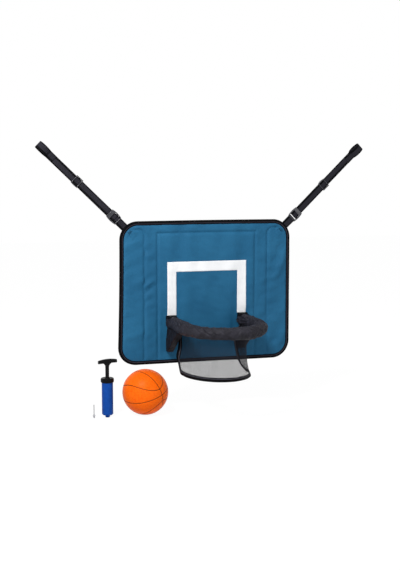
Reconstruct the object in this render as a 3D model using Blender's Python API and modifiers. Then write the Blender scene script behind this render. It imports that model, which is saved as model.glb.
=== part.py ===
"""Soft basketball hoop that hangs by two straps, with its ball, hand pump and needle.

Metres, +Z up, X along the board, and the rim points to -Y. The origin is the middle of the line
between the two strap loops, in the mid-plane of the board.
"""
from math import cos, exp, hypot, pi, radians, sin, sqrt

import bmesh
import bpy
from mathutils import Vector

# Shared clearances
GAP = 0.0003                    # between pieces that touch
OVERRUN = 0.002                 # how far a cutter passes the face it cuts
WELD = 0.00001                  # points nearer than this become one
CREASE = 40                     # degrees; edges sharper than this stay sharp when shaded

# Backboard: two fabric panels over foam and battens, bound all round
BOARD_WIDTH = 0.570
BOARD_HEIGHT = 0.452
BOARD_CORNER = 0.058
PANEL = 0.0012                  # thickness of each fabric panel
PAD = 0.0030                    # thickness of the foam and battens between the panels
BINDING_WIDTH = 0.013
BINDING_WALL = 0.0010
POCKET_INNER = 0.1635           # seams at both sides of the batten pockets, from the middle
POCKET_OUTER = 0.2057
SEAM_MARGIN = 0.0020            # foam and battens stop this far from a seam
TOP_SEAM_DROP = 0.039           # seam that closes the middle pocket, below the board's top
TARGET_WIDTH = 0.2648
TARGET_BAND = 0.0301
TARGET_TOP_BAND = 0.0320
TARGET_DROP = 0.129             # top of the target, below the board's top
PRINT = 0.0003                  # thickness of the printed target

# Straps: they leave the board's top corners and rise outwards
STRAP_ANGLE = 44.0              # degrees above the level
WEBBING_WIDTH = 0.025
WEBBING = 0.0014
STRAP_REACH = 0.348             # from the board's corner to the middle of the loop's eye
ANCHOR_DEPTH = 0.045            # webbing sewn in between the panels
TAB_STUB = 0.004                # how far that webbing stands out of the binding
SWING_GAP = 0.0009              # between the stub and the tab loop, where the board swings
EYE_LENGTH = 0.040
EYE_HEIGHT = 0.026
LOOP_SEAM = 0.026               # sewn overlap below the eye
LEFT_GLIDE_REACH = 0.206
RIGHT_GLIDE_REACH = 0.187
TAIL_PAST_GLIDE = 0.009
LOCK_REACH = 0.049              # from the board's corner to the middle of the ladder lock
LOCK_LENGTH = 0.036
LOCK_WIDTH = 0.0335
LOCK_END_WIDTH = 0.0290
LOCK_BAR_RADIUS = 0.0013
LOCK_GRIP = 0.012               # length of the grip plate
BUCKLE_CLEARANCE = 0.0005       # at each edge of the webbing
BUCKLE_MARGIN = 0.0004          # how far a buckle's sides stand past its bars
GLIDE_LENGTH = 0.026
GLIDE_WIDTH = 0.0300
GLIDE_BAR_RADIUS = 0.0014
TAB_SEAM = 0.006

# Rim: a padded tube in a fabric sleeve, bent to a U
RIM_HALF_WIDTH = 0.120          # to the tube's centreline
RIM_LEG = 0.145
RIM_FRONT = 0.148               # from the ends of the legs to the front
RIM_RADIUS = 0.0198
RIM_DROP = 0.301                # top of the rim, below the board's top
SLEEVE_WALL = 0.0016
GATHER_DEPTH = 0.0007           # how far the sleeve's folds dip
CORE_RADIUS = 0.0055
CORE_WALL = 0.0012
PLUG_STEM = 0.020
PLUG_FLANGE = 0.003
FLAP_WIDTH = 0.034
FLAP_LENGTH = 0.020
FLAP = 0.0008
PATCH_WIDTH = 0.034
PATCH_RADIUS = 0.004
WEDGE_INSIDE = 0.1130           # from the middle to the wedge's inner side
WEDGE_WIDTH = 0.021
WEDGE_DROP = 0.0735             # below the rim's underside
WEDGE_TOP_DEPTH = 0.118
WEDGE_BOTTOM_DEPTH = 0.0165

# Net: a mesh skirt with bound free edges and hem
NET_INSET = 0.017               # its top edge, inside the rim's centreline
NET_START = 0.026               # its free edges, in front of the rim's ends
NET_HEM_DROP = 0.166            # hem, below the rim's top
HEM_HALF_WIDTH = 0.105
HEM_SWAY = 0.020                # the hem hangs to the left by this much
HEM_START = 0.095
HEM_LEG = 0.050
HEM_FRONT = 0.137
NET = 0.0010
NET_TAPE = 0.0024
NET_TAPE_WIDTH = 0.013
NET_CORNER = 0.040
NET_SEAM = 0.0005
NET_EASE_SHARE = 1.5            # the skirt draws in faster towards its hem
NET_WAIST = 0.021               # it draws in by this much on its right, below the rim
NET_WAIST_START_SHARE = 0.24    # and has done so at this share of its drop
NET_WAIST_END_SHARE = 2.6       # and spreads again faster towards its hem
NET_FLARE = 0.008               # its left free edge turns outwards by this much
NET_FLARE_REACH = 0.035         # over this much of the cloth beside it
NET_FLARE_PLACE_SHARE = 0.64    # most at this share of its drop
NET_FLARE_SPREAD_SHARE = 0.14

# Ball
BALL_RADIUS = 0.073
BALL_WALL = 0.0025
BALL_BELOW_BOARD = 0.017
BALL_BESIDE_PUMP = 0.0201
VALVE_RADIUS = 0.004
VALVE_LENGTH = 0.009
VALVE_FLANGE_RADIUS = 0.0065
VALVE_FLANGE = 0.0015
VALVE_BORE = 0.0014

# Hand pump
PUMP_BESIDE_BOARD = 0.0136
BARREL_RADIUS = 0.0178
BARREL_WALL = 0.0018
BARREL_FLOOR = 0.0030
BARREL_CHAMFER = 0.0025         # round the barrel's bottom edge
BARREL_SHOWN = 0.104            # from the nozzle's collar to the cap
CAP_RADIUS = 0.0203
CAP_HEIGHT = 0.0145
CAP_PLATE = 0.0040
NOZZLE_RADIUS = 0.0075
NOZZLE_HEIGHT = 0.008
NOZZLE_BORE = 0.0031
NOZZLE_NECK_RADIUS = 0.0050
CHECK_VALVE_RADIUS = 0.0080
CHECK_VALVE = 0.0025
ROD_RADIUS = 0.0060
ROD_SHOWN = 0.032               # at rest, between the cap and the handle
PISTON = 0.010
PISTON_RIM = 0.0022
PISTON_CLEARANCE = 0.0008
SEAL_DEPTH = 0.0030
HANDLE_WIDTH = 0.060
HANDLE_BAR = 0.0140
HANDLE_FLARE = 0.0135
HANDLE_FLARE_RADIUS = 0.0120
HANDLE_FOOT_RADIUS = 0.0085
HANDLE_SOCKET = 0.0120

# Needle
NEEDLE_BESIDE_PUMP = 0.0436
NEEDLE_LENGTH = 0.043
NEEDLE_RADIUS = 0.0010
NEEDLE_BORE = 0.0005
HUB_RADIUS = 0.0042
HUB_LENGTH = 0.0110
HUB_THREAD_RADIUS = NOZZLE_BORE - GAP
HUB_THREAD_LENGTH = 0.0060
HUB_BORE = 0.0008
HUB_SOCKET = 0.0060

# How finely round shapes are drawn, in counts
CORNER_STEPS = 8
ROUND_STEPS = 24
BAR_SIDES = 12
RIM_LEG_STEPS = 14
RIM_FRONT_STEPS = 30
NET_COLUMNS = 34
NET_ROWS = 5
BALL_SEGMENTS = 28
BALL_RINGS = 16
SLEEVE_BEVEL_STEPS = 6          # a tube has 4 sides and 2 more for each step
FOAM_BEVEL_STEPS = 3
CORE_BEVEL_STEPS = 2

# Sizes that follow from those above
PANEL_FACE = PAD / 2 + GAP + PANEL              # front of the front panel, from the mid-plane
BINDING_THICKNESS = 2 * (PANEL_FACE + GAP + BINDING_WALL)
PRINT_FACE = PANEL_FACE + GAP + PRINT
RIM_HINGE_DEPTH = PRINT_FACE + GAP + FLAP + GAP
RIM_HINGE_HEIGHT = BOARD_HEIGHT / 2 - RIM_DROP
LAYER = (WEBBING + GAP) / 2                     # from mid-plane to each of two webbing layers
STRAP_DIRECTION = (cos(radians(STRAP_ANGLE)), sin(radians(STRAP_ANGLE)))
CORNER_X = BOARD_WIDTH / 2 - BOARD_CORNER + BOARD_CORNER * STRAP_DIRECTION[0]
CORNER_Z = BOARD_HEIGHT / 2 - BOARD_CORNER + BOARD_CORNER * STRAP_DIRECTION[1]
SWING_REACH = TAB_STUB + SWING_GAP / 2
SWING_HEIGHT = CORNER_Z + SWING_REACH * STRAP_DIRECTION[1]
BOARD_MIDDLE = -(CORNER_Z + STRAP_REACH * STRAP_DIRECTION[1])
GROUND = BOARD_MIDDLE - BOARD_HEIGHT / 2 - BALL_BELOW_BOARD - 2 * BALL_RADIUS
PUMP_X = -(BOARD_WIDTH / 2 + PUMP_BESIDE_BOARD + HANDLE_WIDTH / 2)
BALL_X = PUMP_X + HANDLE_WIDTH / 2 + BALL_BESIDE_PUMP + BALL_RADIUS
NEEDLE_X = PUMP_X - NEEDLE_BESIDE_PUMP


# Blender helpers

def new_collection(name):
    collection = bpy.data.collections.new(name)
    bpy.context.scene.collection.children.link(collection)
    return collection


def carrier(name, at, parent=None, turn=(0, 0, 0)):
    """An empty that carries the pieces of one body; its origin lies on the body's joint axis."""
    empty = bpy.data.objects.new(name, None)
    parts.objects.link(empty)
    empty.parent = parent
    empty.location = at
    empty.rotation_euler = turn
    return empty


def material(name, colour, roughness, metallic=0.0):
    finish = bpy.data.materials.new(name)
    finish.use_nodes = True
    shader = finish.node_tree.nodes["Principled BSDF"]
    shader.inputs["Base Color"].default_value = (*colour, 1.0)
    shader.inputs["Roughness"].default_value = roughness
    shader.inputs["Metallic"].default_value = metallic
    return finish


def place(obj, parent, at=(0, 0, 0), turn=(0, 0, 0)):
    obj.parent = parent
    obj.location = at
    obj.rotation_euler = turn
    return obj


def mesh_object(name, mesh, collection):
    obj = bpy.data.objects.new(name, mesh)
    collection.objects.link(obj)
    return obj


def as_cutter(obj):
    obj.hide_render = True
    obj.display_type = "WIRE"
    return obj


def combine(obj, other, operation):
    """Cut another shape out of an object, or join it to the object, with an exact Boolean."""
    modifier = obj.modifiers.new(operation.lower(), "BOOLEAN")
    modifier.operation = operation
    modifier.solver = "EXACT"
    modifier.object = as_cutter(other)
    return obj


def from_bmesh(name, shape, collection):
    mesh = bpy.data.meshes.new(name)
    shape.to_mesh(mesh)
    shape.free()
    return mesh_object(name, mesh, collection)


def box(name, size, collection):
    shape = bmesh.new()
    bmesh.ops.create_cube(shape, size=1)
    bmesh.ops.scale(shape, vec=size, verts=shape.verts)
    return from_bmesh(name, shape, collection)


def cylinder(name, radius, length, collection, sides=BAR_SIDES):
    shape = bmesh.new()
    bmesh.ops.create_cone(shape, cap_ends=True, segments=sides, radius1=radius, radius2=radius,
                          depth=length)
    obj = from_bmesh(name, shape, collection)
    obj.data.shade_smooth()
    obj.data.set_sharp_from_angle(angle=radians(CREASE))
    return obj


def to_mesh(curve_object, collection):
    """Turn a curve object into a closed mesh object with welded caps."""
    bpy.context.view_layer.update()
    graph = bpy.context.evaluated_depsgraph_get()
    mesh = bpy.data.meshes.new_from_object(curve_object.evaluated_get(graph))
    shape = bmesh.new()
    shape.from_mesh(mesh)
    bmesh.ops.remove_doubles(shape, verts=shape.verts, dist=WELD)
    shape.to_mesh(mesh)
    shape.free()
    obj = mesh_object(curve_object.name, mesh, collection)
    obj.matrix_world = curve_object.matrix_world
    name = curve_object.name
    curve = curve_object.data
    bpy.data.objects.remove(curve_object, do_unlink=True)
    bpy.data.curves.remove(curve)
    obj.name = name
    return obj


def plate(name, outlines, thickness, collection):
    """A flat piece: the first outline is its edge, the others are holes; thickness along local Z."""
    curve = bpy.data.curves.new(name, "CURVE")
    curve.dimensions = "2D"
    curve.fill_mode = "BOTH"
    curve.extrude = thickness / 2
    for outline in outlines:
        spline = curve.splines.new("POLY")
        spline.points.add(len(outline) - 1)
        for point, (x, y) in zip(spline.points, outline):
            point.co = (x, y, 0, 1)
        spline.use_cyclic_u = True
    return to_mesh(mesh_object(name, curve, collection), collection)


def flat_share(resolution):
    """How near a tube's flat sides come to its middle, as a share of its radius."""
    return cos(pi / (4 + 2 * resolution))


def tube(name, points, radius, collection, resolution, shares=None):
    """A round tube along a list of points; shares scale its radius at each point."""
    curve = bpy.data.curves.new(name, "CURVE")
    curve.dimensions = "3D"
    curve.bevel_depth = radius
    curve.bevel_resolution = resolution
    curve.use_fill_caps = True
    spline = curve.splines.new("POLY")
    spline.points.add(len(points) - 1)
    for index, (point, place_at) in enumerate(zip(spline.points, points)):
        point.co = (*place_at, 1)
        point.radius = shares[index] if shares else 1
    return to_mesh(mesh_object(name, curve, collection), collection)


def turned(name, profile, collection, closed=False, steps=ROUND_STEPS):
    """A turned piece: the profile's (radius, height) points run down its outer side."""
    mesh = bpy.data.meshes.new(name)
    verts = [(radius, 0, height) for radius, height in profile]
    edges = [(i, i + 1) for i in range(len(verts) - 1)]
    if closed:
        edges.append((len(verts) - 1, 0))
    mesh.from_pydata(verts, edges, [])
    obj = mesh_object(name, mesh, collection)
    screw = obj.modifiers.new("turn", "SCREW")
    screw.axis = "Z"
    screw.angle = 2 * pi
    screw.steps = steps
    screw.render_steps = steps
    screw.use_merge_vertices = True
    screw.merge_threshold = WELD
    return obj


# Outlines

def arc(centre, radius, start, stop, steps):
    """Points on an arc, from one angle in degrees to another."""
    points = []
    for step in range(steps + 1):
        angle = radians(start + (stop - start) * step / steps)
        points.append((centre[0] + radius * cos(angle), centre[1] + radius * sin(angle)))
    return points


def rounded_rectangle(width, height, radius):
    x = width / 2 - radius
    y = height / 2 - radius
    points = []
    for quarter, centre in enumerate([(x, y), (-x, y), (-x, -y), (x, -y)]):
        points += arc(centre, radius, 90 * quarter, 90 * quarter + 90, CORNER_STEPS)
    return points


def clip(points, normal, limit):
    """The part of an outline that lies within a straight line."""
    kept = []
    for index, point in enumerate(points):
        before = points[index - 1]
        here = point[0] * normal[0] + point[1] * normal[1] - limit
        there = before[0] * normal[0] + before[1] * normal[1] - limit
        if (here < 0) != (there < 0):
            share = there / (there - here)
            kept.append(tuple(b + (p - b) * share for b, p in zip(before, point)))
        if here < 0:
            kept.append(point)
    return kept


def band(path, thickness):
    """The outline of a strip of even thickness along a path."""
    left = []
    right = []
    for index, point in enumerate(path):
        before = path[max(index - 1, 0)]
        after = path[min(index + 1, len(path) - 1)]
        run = Vector((after[0] - before[0], after[1] - before[1])).normalized()
        left.append((point[0] - run.y * thickness / 2, point[1] + run.x * thickness / 2))
        right.append((point[0] + run.y * thickness / 2, point[1] - run.x * thickness / 2))
    return left + right[::-1]


def ellipse(centre, half_length, half_height, steps):
    points = []
    for step in range(steps):
        angle = 2 * pi * step / steps
        points.append((centre[0] + half_length * cos(angle), centre[1] + half_height * sin(angle)))
    return points


# Backboard

UPRIGHT = (radians(90), 0, 0)                   # stands a flat outline up in the board's plane


def board_outline(inset):
    return rounded_rectangle(BOARD_WIDTH - 2 * inset, BOARD_HEIGHT - 2 * inset,
                             BOARD_CORNER - inset)


def on_board(obj, depth, finish=None):
    """Set a flat piece in the board's plane, its middle at a depth in front of the mid-plane."""
    if finish:
        obj.data.materials.append(finish)
    return place(obj, board, (0, -depth, -SWING_HEIGHT), UPRIGHT)


def make_panels():
    cloth = material("board_cloth", (0.035, 0.165, 0.280), 0.75)
    outline = board_outline(BINDING_WALL + GAP)
    middle = PAD / 2 + GAP + PANEL / 2
    on_board(plate("front_panel", [outline], PANEL, parts), middle, cloth)
    on_board(plate("back_panel", [outline], PANEL, parts), -middle, cloth)


def make_pads():
    """Foam and battens in the pockets that the seams divide the board into."""
    foam = material("board_foam", (0.82, 0.82, 0.80), 0.9)
    plastic = material("batten_plastic", (0.70, 0.71, 0.72), 0.5)
    inside = board_outline(BINDING_WIDTH)
    middle = clip(inside, (1, 0), POCKET_INNER - SEAM_MARGIN)
    middle = clip(middle, (-1, 0), POCKET_INNER - SEAM_MARGIN)
    middle = clip(middle, (0, 1), BOARD_HEIGHT / 2 - TOP_SEAM_DROP - SEAM_MARGIN)
    corner = CORNER_X * STRAP_DIRECTION[0] + CORNER_Z * STRAP_DIRECTION[1]
    anchor_end = corner - ANCHOR_DEPTH - SEAM_MARGIN
    for word, side in SIDES:
        lean = (side * STRAP_DIRECTION[0], STRAP_DIRECTION[1])
        middle = clip(middle, lean, anchor_end)
        batten = clip(inside, (side, 0), POCKET_OUTER - SEAM_MARGIN)
        batten = clip(batten, (-side, 0), -(POCKET_INNER + SEAM_MARGIN))
        batten = clip(batten, lean, anchor_end)
        on_board(plate(word + "_batten", [batten], PAD, parts), 0, plastic)
        pad = clip(inside, (-side, 0), -(POCKET_OUTER + SEAM_MARGIN))
        pad = clip(pad, lean, anchor_end)
        on_board(plate(word + "_side_pad", [pad], PAD, parts), 0, foam)
    on_board(plate("centre_pad", [middle], PAD, parts), 0, foam)


def make_binding():
    """Tape folded round the board's edge: a ring with a groove that holds the panels."""
    tape = material("binding_tape", (0.015, 0.015, 0.018), 0.8)
    ring = plate("edge_binding", [board_outline(0), board_outline(BINDING_WIDTH)],
                 BINDING_THICKNESS, parts)
    on_board(ring, 0, tape)
    groove = plate("binding_groove", [board_outline(BINDING_WALL)], 2 * (PANEL_FACE + GAP), cutters)
    combine(ring, on_board(groove, 0), "DIFFERENCE")
    for word, side in SIDES:
        slot = box(word + "_binding_slot", (BINDING_WIDTH, 2 * (WEBBING + GAP),
                                            WEBBING_WIDTH + 2 * GAP), cutters)
        combine(ring, place(slot, corners[word]), "DIFFERENCE")


def make_target():
    ink = material("target_ink", (0.88, 0.88, 0.88), 0.6)
    outer = TARGET_WIDTH / 2
    inner = outer - TARGET_BAND
    top = BOARD_HEIGHT / 2 - TARGET_DROP
    bottom = RIM_HINGE_HEIGHT + FLAP
    outline = [(-outer, bottom), (-inner, bottom), (-inner, top - TARGET_TOP_BAND),
               (inner, top - TARGET_TOP_BAND), (inner, bottom), (outer, bottom),
               (outer, top), (-outer, top)]
    on_board(plate("target_print", [outline], PRINT, parts), PANEL_FACE + GAP + PRINT / 2, ink)


def make_rim_patches():
    """Sewn patches on the board behind the rim's ends."""
    cloth = material("patch_cloth", (0.02, 0.02, 0.024), 0.85)
    thickness = RIM_HINGE_DEPTH - PANEL_FACE - 2 * GAP
    height = RIM_RADIUS * 3 / 2
    for word, side in SIDES:
        patch = plate(word + "_rim_patch", [rounded_rectangle(PATCH_WIDTH, height, PATCH_RADIUS)],
                      thickness, parts)
        patch.data.materials.append(cloth)
        at = (side * RIM_HALF_WIDTH, -(PANEL_FACE + GAP + thickness / 2),
              RIM_HINGE_HEIGHT - SWING_HEIGHT - FLAP - height / 2)
        place(patch, board, at, UPRIGHT)


def make_tab_anchors():
    webbing = material("anchor_webbing", (0.018, 0.018, 0.022), 0.8)
    length = ANCHOR_DEPTH + TAB_STUB
    for word, side in SIDES:
        anchor = box(word + "_tab_anchor", (length, 2 * WEBBING, WEBBING_WIDTH), parts)
        anchor.data.materials.append(webbing)
        place(anchor, corners[word], (TAB_STUB - length / 2, 0, 0))


# Straps. Each is drawn in its own frame: X up the strap from the board's corner, Y through the
# webbing towards the back, Z across its width.

def lock_places():
    """Where the ladder lock's bars lie along and through the strap."""
    lower = LOCK_REACH - LOCK_LENGTH / 2 + LOCK_BAR_RADIUS + BUCKLE_MARGIN
    grip_start = LOCK_REACH + LOCK_LENGTH / 2 - LOCK_GRIP
    middle = (lower + grip_start) / 2
    wrap = LOCK_BAR_RADIUS + GAP + WEBBING / 2
    return lower, middle, grip_start, wrap


def make_webbing(word, strap, glide_reach):
    """One strap: its loop, the main run, the turn round the ladder lock and the free tail."""
    nylon = material(word + "_nylon", (0.02, 0.02, 0.025), 0.75)
    middle_bar, wrap = lock_places()[1], lock_places()[3]
    bar_depth = LAYER - wrap
    turn = arc((middle_bar, bar_depth), wrap, 90, 270, CORNER_STEPS)
    tail_start = middle_bar + 2 * wrap + LOCK_BAR_RADIUS
    path = [(STRAP_REACH - EYE_LENGTH / 2, LAYER)] + turn
    path += [(middle_bar + wrap / 2, bar_depth - wrap + WEBBING / 4), (tail_start, -LAYER)]
    path += [(glide_reach + TAIL_PAST_GLIDE, -LAYER)]
    run = plate(word + "_webbing", [band(path, WEBBING)], WEBBING_WIDTH, parts)
    run.data.materials.append(nylon)
    place(run, strap)
    length = EYE_LENGTH / 2
    height = EYE_HEIGHT / 2
    outer = ellipse((STRAP_REACH, 0), length + WEBBING, height + WEBBING, ROUND_STEPS)
    inner = ellipse((STRAP_REACH, 0), length, height, ROUND_STEPS)
    eye = plate(word + "_loop_eye", [outer, inner], WEBBING_WIDTH, cutters)
    combine(run, place(eye, strap), "UNION")
    front = LAYER - 3 * WEBBING / 2
    seam_length = LOOP_SEAM + WEBBING / 2
    seam = box(word + "_loop_seam", (seam_length, 2 * WEBBING, WEBBING_WIDTH), cutters)
    seam_at = (STRAP_REACH - length - LOOP_SEAM + seam_length / 2 - WEBBING / 2, front + WEBBING, 0)
    combine(run, place(seam, strap, seam_at), "UNION")


def make_ladder_lock(word, strap):
    """Oval buckle: a grip plate over the webbing, a bar it turns round and a bar for the tab."""
    plastic = material(word + "_lock_plastic", (0.035, 0.035, 0.04), 0.4)
    lower, middle, grip_start, wrap = lock_places()
    bar_depth = LAYER - wrap
    front = bar_depth - wrap - WEBBING / 2
    back = bar_depth + LOCK_BAR_RADIUS + BUCKLE_MARGIN
    half_length = LOCK_LENGTH / 2
    half_end = LOCK_END_WIDTH / 2
    bulge = LOCK_WIDTH / 2 - half_end
    side = []
    for step in range(CORNER_STEPS + 1):
        share = 2 * step / CORNER_STEPS - 1
        side.append((LOCK_REACH + share * half_length, half_end + bulge * (1 - share * share)))
    outline = side + [(x, -y) for x, y in reversed(side)]
    lock = plate(word + "_ladder_lock", [outline], back - front, parts)
    lock.data.materials.append(plastic)
    depth = (back + front) / 2
    place(lock, strap, (0, depth, 0), (radians(-90), 0, 0))
    window = WEBBING_WIDTH + 2 * BUCKLE_CLEARANCE
    opening_length = grip_start - LOCK_REACH + half_length + OVERRUN
    opening = box(word + "_lock_opening", (opening_length, back - front + 2 * OVERRUN, window),
                  cutters)
    combine(lock, place(opening, strap, (grip_start - opening_length / 2, depth, 0)), "DIFFERENCE")
    channel_length = LOCK_GRIP + 2 * OVERRUN
    channel = box(word + "_lock_channel", (channel_length, LOCK_LENGTH, window), cutters)
    grip_back = -(LAYER + WEBBING / 2 + GAP)
    channel_at = (grip_start + channel_length / 2 - OVERRUN, grip_back + LOCK_LENGTH / 2, 0)
    combine(lock, place(channel, strap, channel_at), "DIFFERENCE")
    bar_length = window + 2 * LOCK_BAR_RADIUS
    for bar_word, reach in (("middle", middle), ("lower", lower)):
        bar = cylinder(word + "_lock_" + bar_word + "_bar", LOCK_BAR_RADIUS, bar_length, cutters)
        combine(lock, place(bar, strap, (reach, bar_depth, 0)), "UNION")


def make_tab_loop(word, strap):
    """Short webbing loop round the ladder lock's lower bar, sewn at the board's corner."""
    nylon = material(word + "_tab_nylon", (0.018, 0.018, 0.022), 0.8)
    lower, wrap = lock_places()[0], lock_places()[3]
    depth = LAYER - wrap
    start = TAB_STUB + SWING_GAP
    outside = wrap + WEBBING / 2
    inside = wrap - WEBBING / 2
    outer = [(start, -WEBBING)] + arc((lower, depth), outside, -90, 90, CORNER_STEPS)
    outer += [(start, WEBBING)]
    inner = [(start + TAB_SEAM, 0)] + arc((lower, depth), inside, -90, 90, CORNER_STEPS)
    loop = plate(word + "_tab_loop", [outer, inner], WEBBING_WIDTH, parts)
    loop.data.materials.append(nylon)
    place(loop, strap)


def make_tri_glide(word, glide):
    """Keeper: two end bars in front of the webbing and one bar behind it."""
    plastic = material(word + "_glide_plastic", (0.035, 0.035, 0.04), 0.4)
    reach = LAYER + WEBBING / 2 + GAP
    depth = reach + GLIDE_BAR_RADIUS
    face = reach + 2 * GLIDE_BAR_RADIUS + BUCKLE_MARGIN
    end = GLIDE_LENGTH / 2
    bar_end = end - GLIDE_BAR_RADIUS - BUCKLE_MARGIN
    middle = 2 * GLIDE_BAR_RADIUS
    outline = [(-end, -face), (end, -face), (end, -reach), (middle, face), (-middle, face),
               (-end, -reach)]
    keeper = plate(word + "_tri_glide", [outline], GLIDE_WIDTH, parts)
    keeper.data.materials.append(plastic)
    place(keeper, glide)
    window = WEBBING_WIDTH + 2 * BUCKLE_CLEARANCE
    opening = box(word + "_glide_opening", (GLIDE_LENGTH + 2 * OVERRUN, 2 * face + 2 * OVERRUN,
                                            window), cutters)
    combine(keeper, place(opening, glide), "DIFFERENCE")
    places = [(-bar_end, -depth), (bar_end, -depth), (0, depth)]
    for count, (along, through) in enumerate(places):
        bar = cylinder(word + "_glide_bar_" + str(count), GLIDE_BAR_RADIUS,
                       window + 2 * GLIDE_BAR_RADIUS, cutters)
        combine(keeper, place(bar, glide, (along, through, 0)), "UNION")


# Rim. It is drawn from its fold axis: Y runs forward as minus, Z down from the top of the tube.

def u_path(half_width, start, leg, front, leg_steps, front_steps, middle=0.0):
    """A U seen from above: a leg, half an ellipse round the front, and the other leg."""
    points = []
    for step in range(leg_steps):
        points.append((middle - half_width, -(start + (leg - start) * step / leg_steps)))
    for step in range(front_steps + 1):
        angle = pi * step / front_steps
        points.append((middle - half_width * cos(angle), -(leg + front * sin(angle))))
    for step in range(leg_steps):
        points.append((middle + half_width, -(leg - (leg - start) * (step + 1) / leg_steps)))
    return points


def rim_points(start=0.0, leg_steps=RIM_LEG_STEPS, front_steps=RIM_FRONT_STEPS):
    path = u_path(RIM_HALF_WIDTH, start, RIM_LEG, RIM_FRONT, leg_steps, front_steps)
    return [(x, y, -RIM_RADIUS) for x, y in path]


def gather_shares(count):
    """Radius shares along the sleeve: folds that gather most at both ends and at the bends."""
    shares = []
    for index in range(count):
        place_share = index / (count - 1)
        ends = abs(2 * place_share - 1)
        ripple = sin(pi * index * 3 / 4) + sin(pi * index * 5 / 7)
        fold = (1 - ripple / 2) / 2 * (1 + 2 * ends * ends) / 3
        shares.append(1 - fold * GATHER_DEPTH / RIM_RADIUS)
    return shares


def make_sleeve():
    cloth = material("sleeve_cloth", (0.028, 0.026, 0.032), 0.8)
    points = rim_points()
    sleeve = tube("rim_cover", points, RIM_RADIUS, parts, SLEEVE_BEVEL_STEPS,
                  gather_shares(len(points)))
    sleeve.data.materials.append(cloth)
    place(sleeve, rim)
    bore = tube("sleeve_bore", rim_points(-OVERRUN), RIM_RADIUS - SLEEVE_WALL, cutters, FOAM_BEVEL_STEPS)
    combine(sleeve, place(bore, rim), "DIFFERENCE")


def make_rim_foam():
    foam = material("rim_foam", (0.10, 0.10, 0.11), 0.95)
    start = PLUG_FLANGE + GAP
    radius = RIM_RADIUS - SLEEVE_WALL - GAP
    pad = tube("rim_foam", rim_points(start), radius, parts, FOAM_BEVEL_STEPS)
    pad.data.materials.append(foam)
    place(pad, rim)
    bore = tube("foam_bore", rim_points(-OVERRUN), CORE_RADIUS + GAP, cutters, CORE_BEVEL_STEPS)
    combine(pad, place(bore, rim), "DIFFERENCE")


def make_rim_core():
    steel = material("core_steel", (0.55, 0.55, 0.57), 0.35, 1.0)
    plastic = material("plug_plastic", (0.05, 0.05, 0.055), 0.5)
    start = PLUG_FLANGE + GAP
    core = tube("rim_core", rim_points(start), CORE_RADIUS, parts, CORE_BEVEL_STEPS)
    core.data.materials.append(steel)
    place(core, rim)
    inner = CORE_RADIUS - CORE_WALL
    bore = tube("core_bore", rim_points(-OVERRUN), inner, cutters, CORE_BEVEL_STEPS)
    combine(core, place(bore, rim), "DIFFERENCE")
    flange = (RIM_RADIUS - SLEEVE_WALL) * flat_share(FOAM_BEVEL_STEPS) - GAP
    stem = inner * flat_share(CORE_BEVEL_STEPS) - GAP
    profile = [(0, 0), (flange, 0), (flange, -PLUG_FLANGE), (stem, -PLUG_FLANGE),
               (stem, -PLUG_FLANGE - PLUG_STEM), (0, -PLUG_FLANGE - PLUG_STEM)]
    for word, side in SIDES:
        plug = turned(word + "_core_plug", profile, parts)
        plug.data.materials.append(plastic)
        place(plug, rim, (side * RIM_HALF_WIDTH, 0, -RIM_RADIUS), (radians(-90), 0, 0))


def make_wedges():
    """Triangular foam braces under the rim's ends, against the board."""
    cloth = material("wedge_cloth", (0.015, 0.014, 0.018), 0.85)
    rear = RIM_HINGE_DEPTH - PANEL_FACE - GAP
    top = -RIM_RADIUS * 3 / 2
    under = -2 * RIM_RADIUS
    bottom = under - WEDGE_DROP
    outline = [(rear, top), (rear, bottom), (-WEDGE_BOTTOM_DEPTH, bottom),
               (-WEDGE_TOP_DEPTH, under), (-WEDGE_TOP_DEPTH, top)]
    for word, side in SIDES:
        wedge = plate(word + "_wedge", [outline], WEDGE_WIDTH, parts)
        wedge.data.materials.append(cloth)
        middle = side * (WEDGE_INSIDE + WEDGE_WIDTH / 2)
        place(wedge, rim, (middle, 0, 0), (radians(90), 0, radians(90)))
        seat_length = WEDGE_TOP_DEPTH + rear + 2 * OVERRUN
        seat = cylinder(word + "_wedge_seat", RIM_RADIUS + GAP, seat_length, cutters, ROUND_STEPS * 2)
        at = (side * RIM_HALF_WIDTH, rear + OVERRUN - seat_length / 2, -RIM_RADIUS)
        combine(wedge, place(seat, rim, at, (radians(90), 0, 0)), "DIFFERENCE")


def make_flaps():
    cloth = material("flap_cloth", (0.012, 0.012, 0.014), 0.85)
    for word, side in SIDES:
        flap = box(word + "_hinge_flap", (FLAP_WIDTH, FLAP_LENGTH, FLAP), parts)
        flap.data.materials.append(cloth)
        place(flap, rim, (side * RIM_HALF_WIDTH, -FLAP_LENGTH / 2, GAP + FLAP / 2))


# Net

def path_length(path):
    return sum(hypot(b[0] - a[0], b[1] - a[1]) for a, b in zip(path, path[1:]))


def along(path, share):
    """The point at a share of a path's length."""
    left = share * path_length(path)
    for a, b in zip(path, path[1:]):
        step = hypot(b[0] - a[0], b[1] - a[1])
        if left <= step or b is path[-1]:
            part = left / step
            return a[0] + (b[0] - a[0]) * part, a[1] + (b[1] - a[1]) * part
        left -= step


def net_paths():
    """The skirt's top edge and its hem, seen from above."""
    top = u_path(RIM_HALF_WIDTH - NET_INSET, NET_START, RIM_LEG, RIM_FRONT - NET_INSET,
                 RIM_LEG_STEPS, RIM_FRONT_STEPS)
    hem = u_path(HEM_HALF_WIDTH, HEM_START, HEM_START + HEM_LEG, HEM_FRONT,
                 RIM_LEG_STEPS, RIM_FRONT_STEPS, -HEM_SWAY)
    return top, hem


def net_heights():
    reach = RIM_RADIUS + GAP
    top = -RIM_RADIUS - sqrt(reach * reach - NET_INSET * NET_INSET) - GAP - NET_TAPE / 2
    return top, -NET_HEM_DROP


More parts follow.
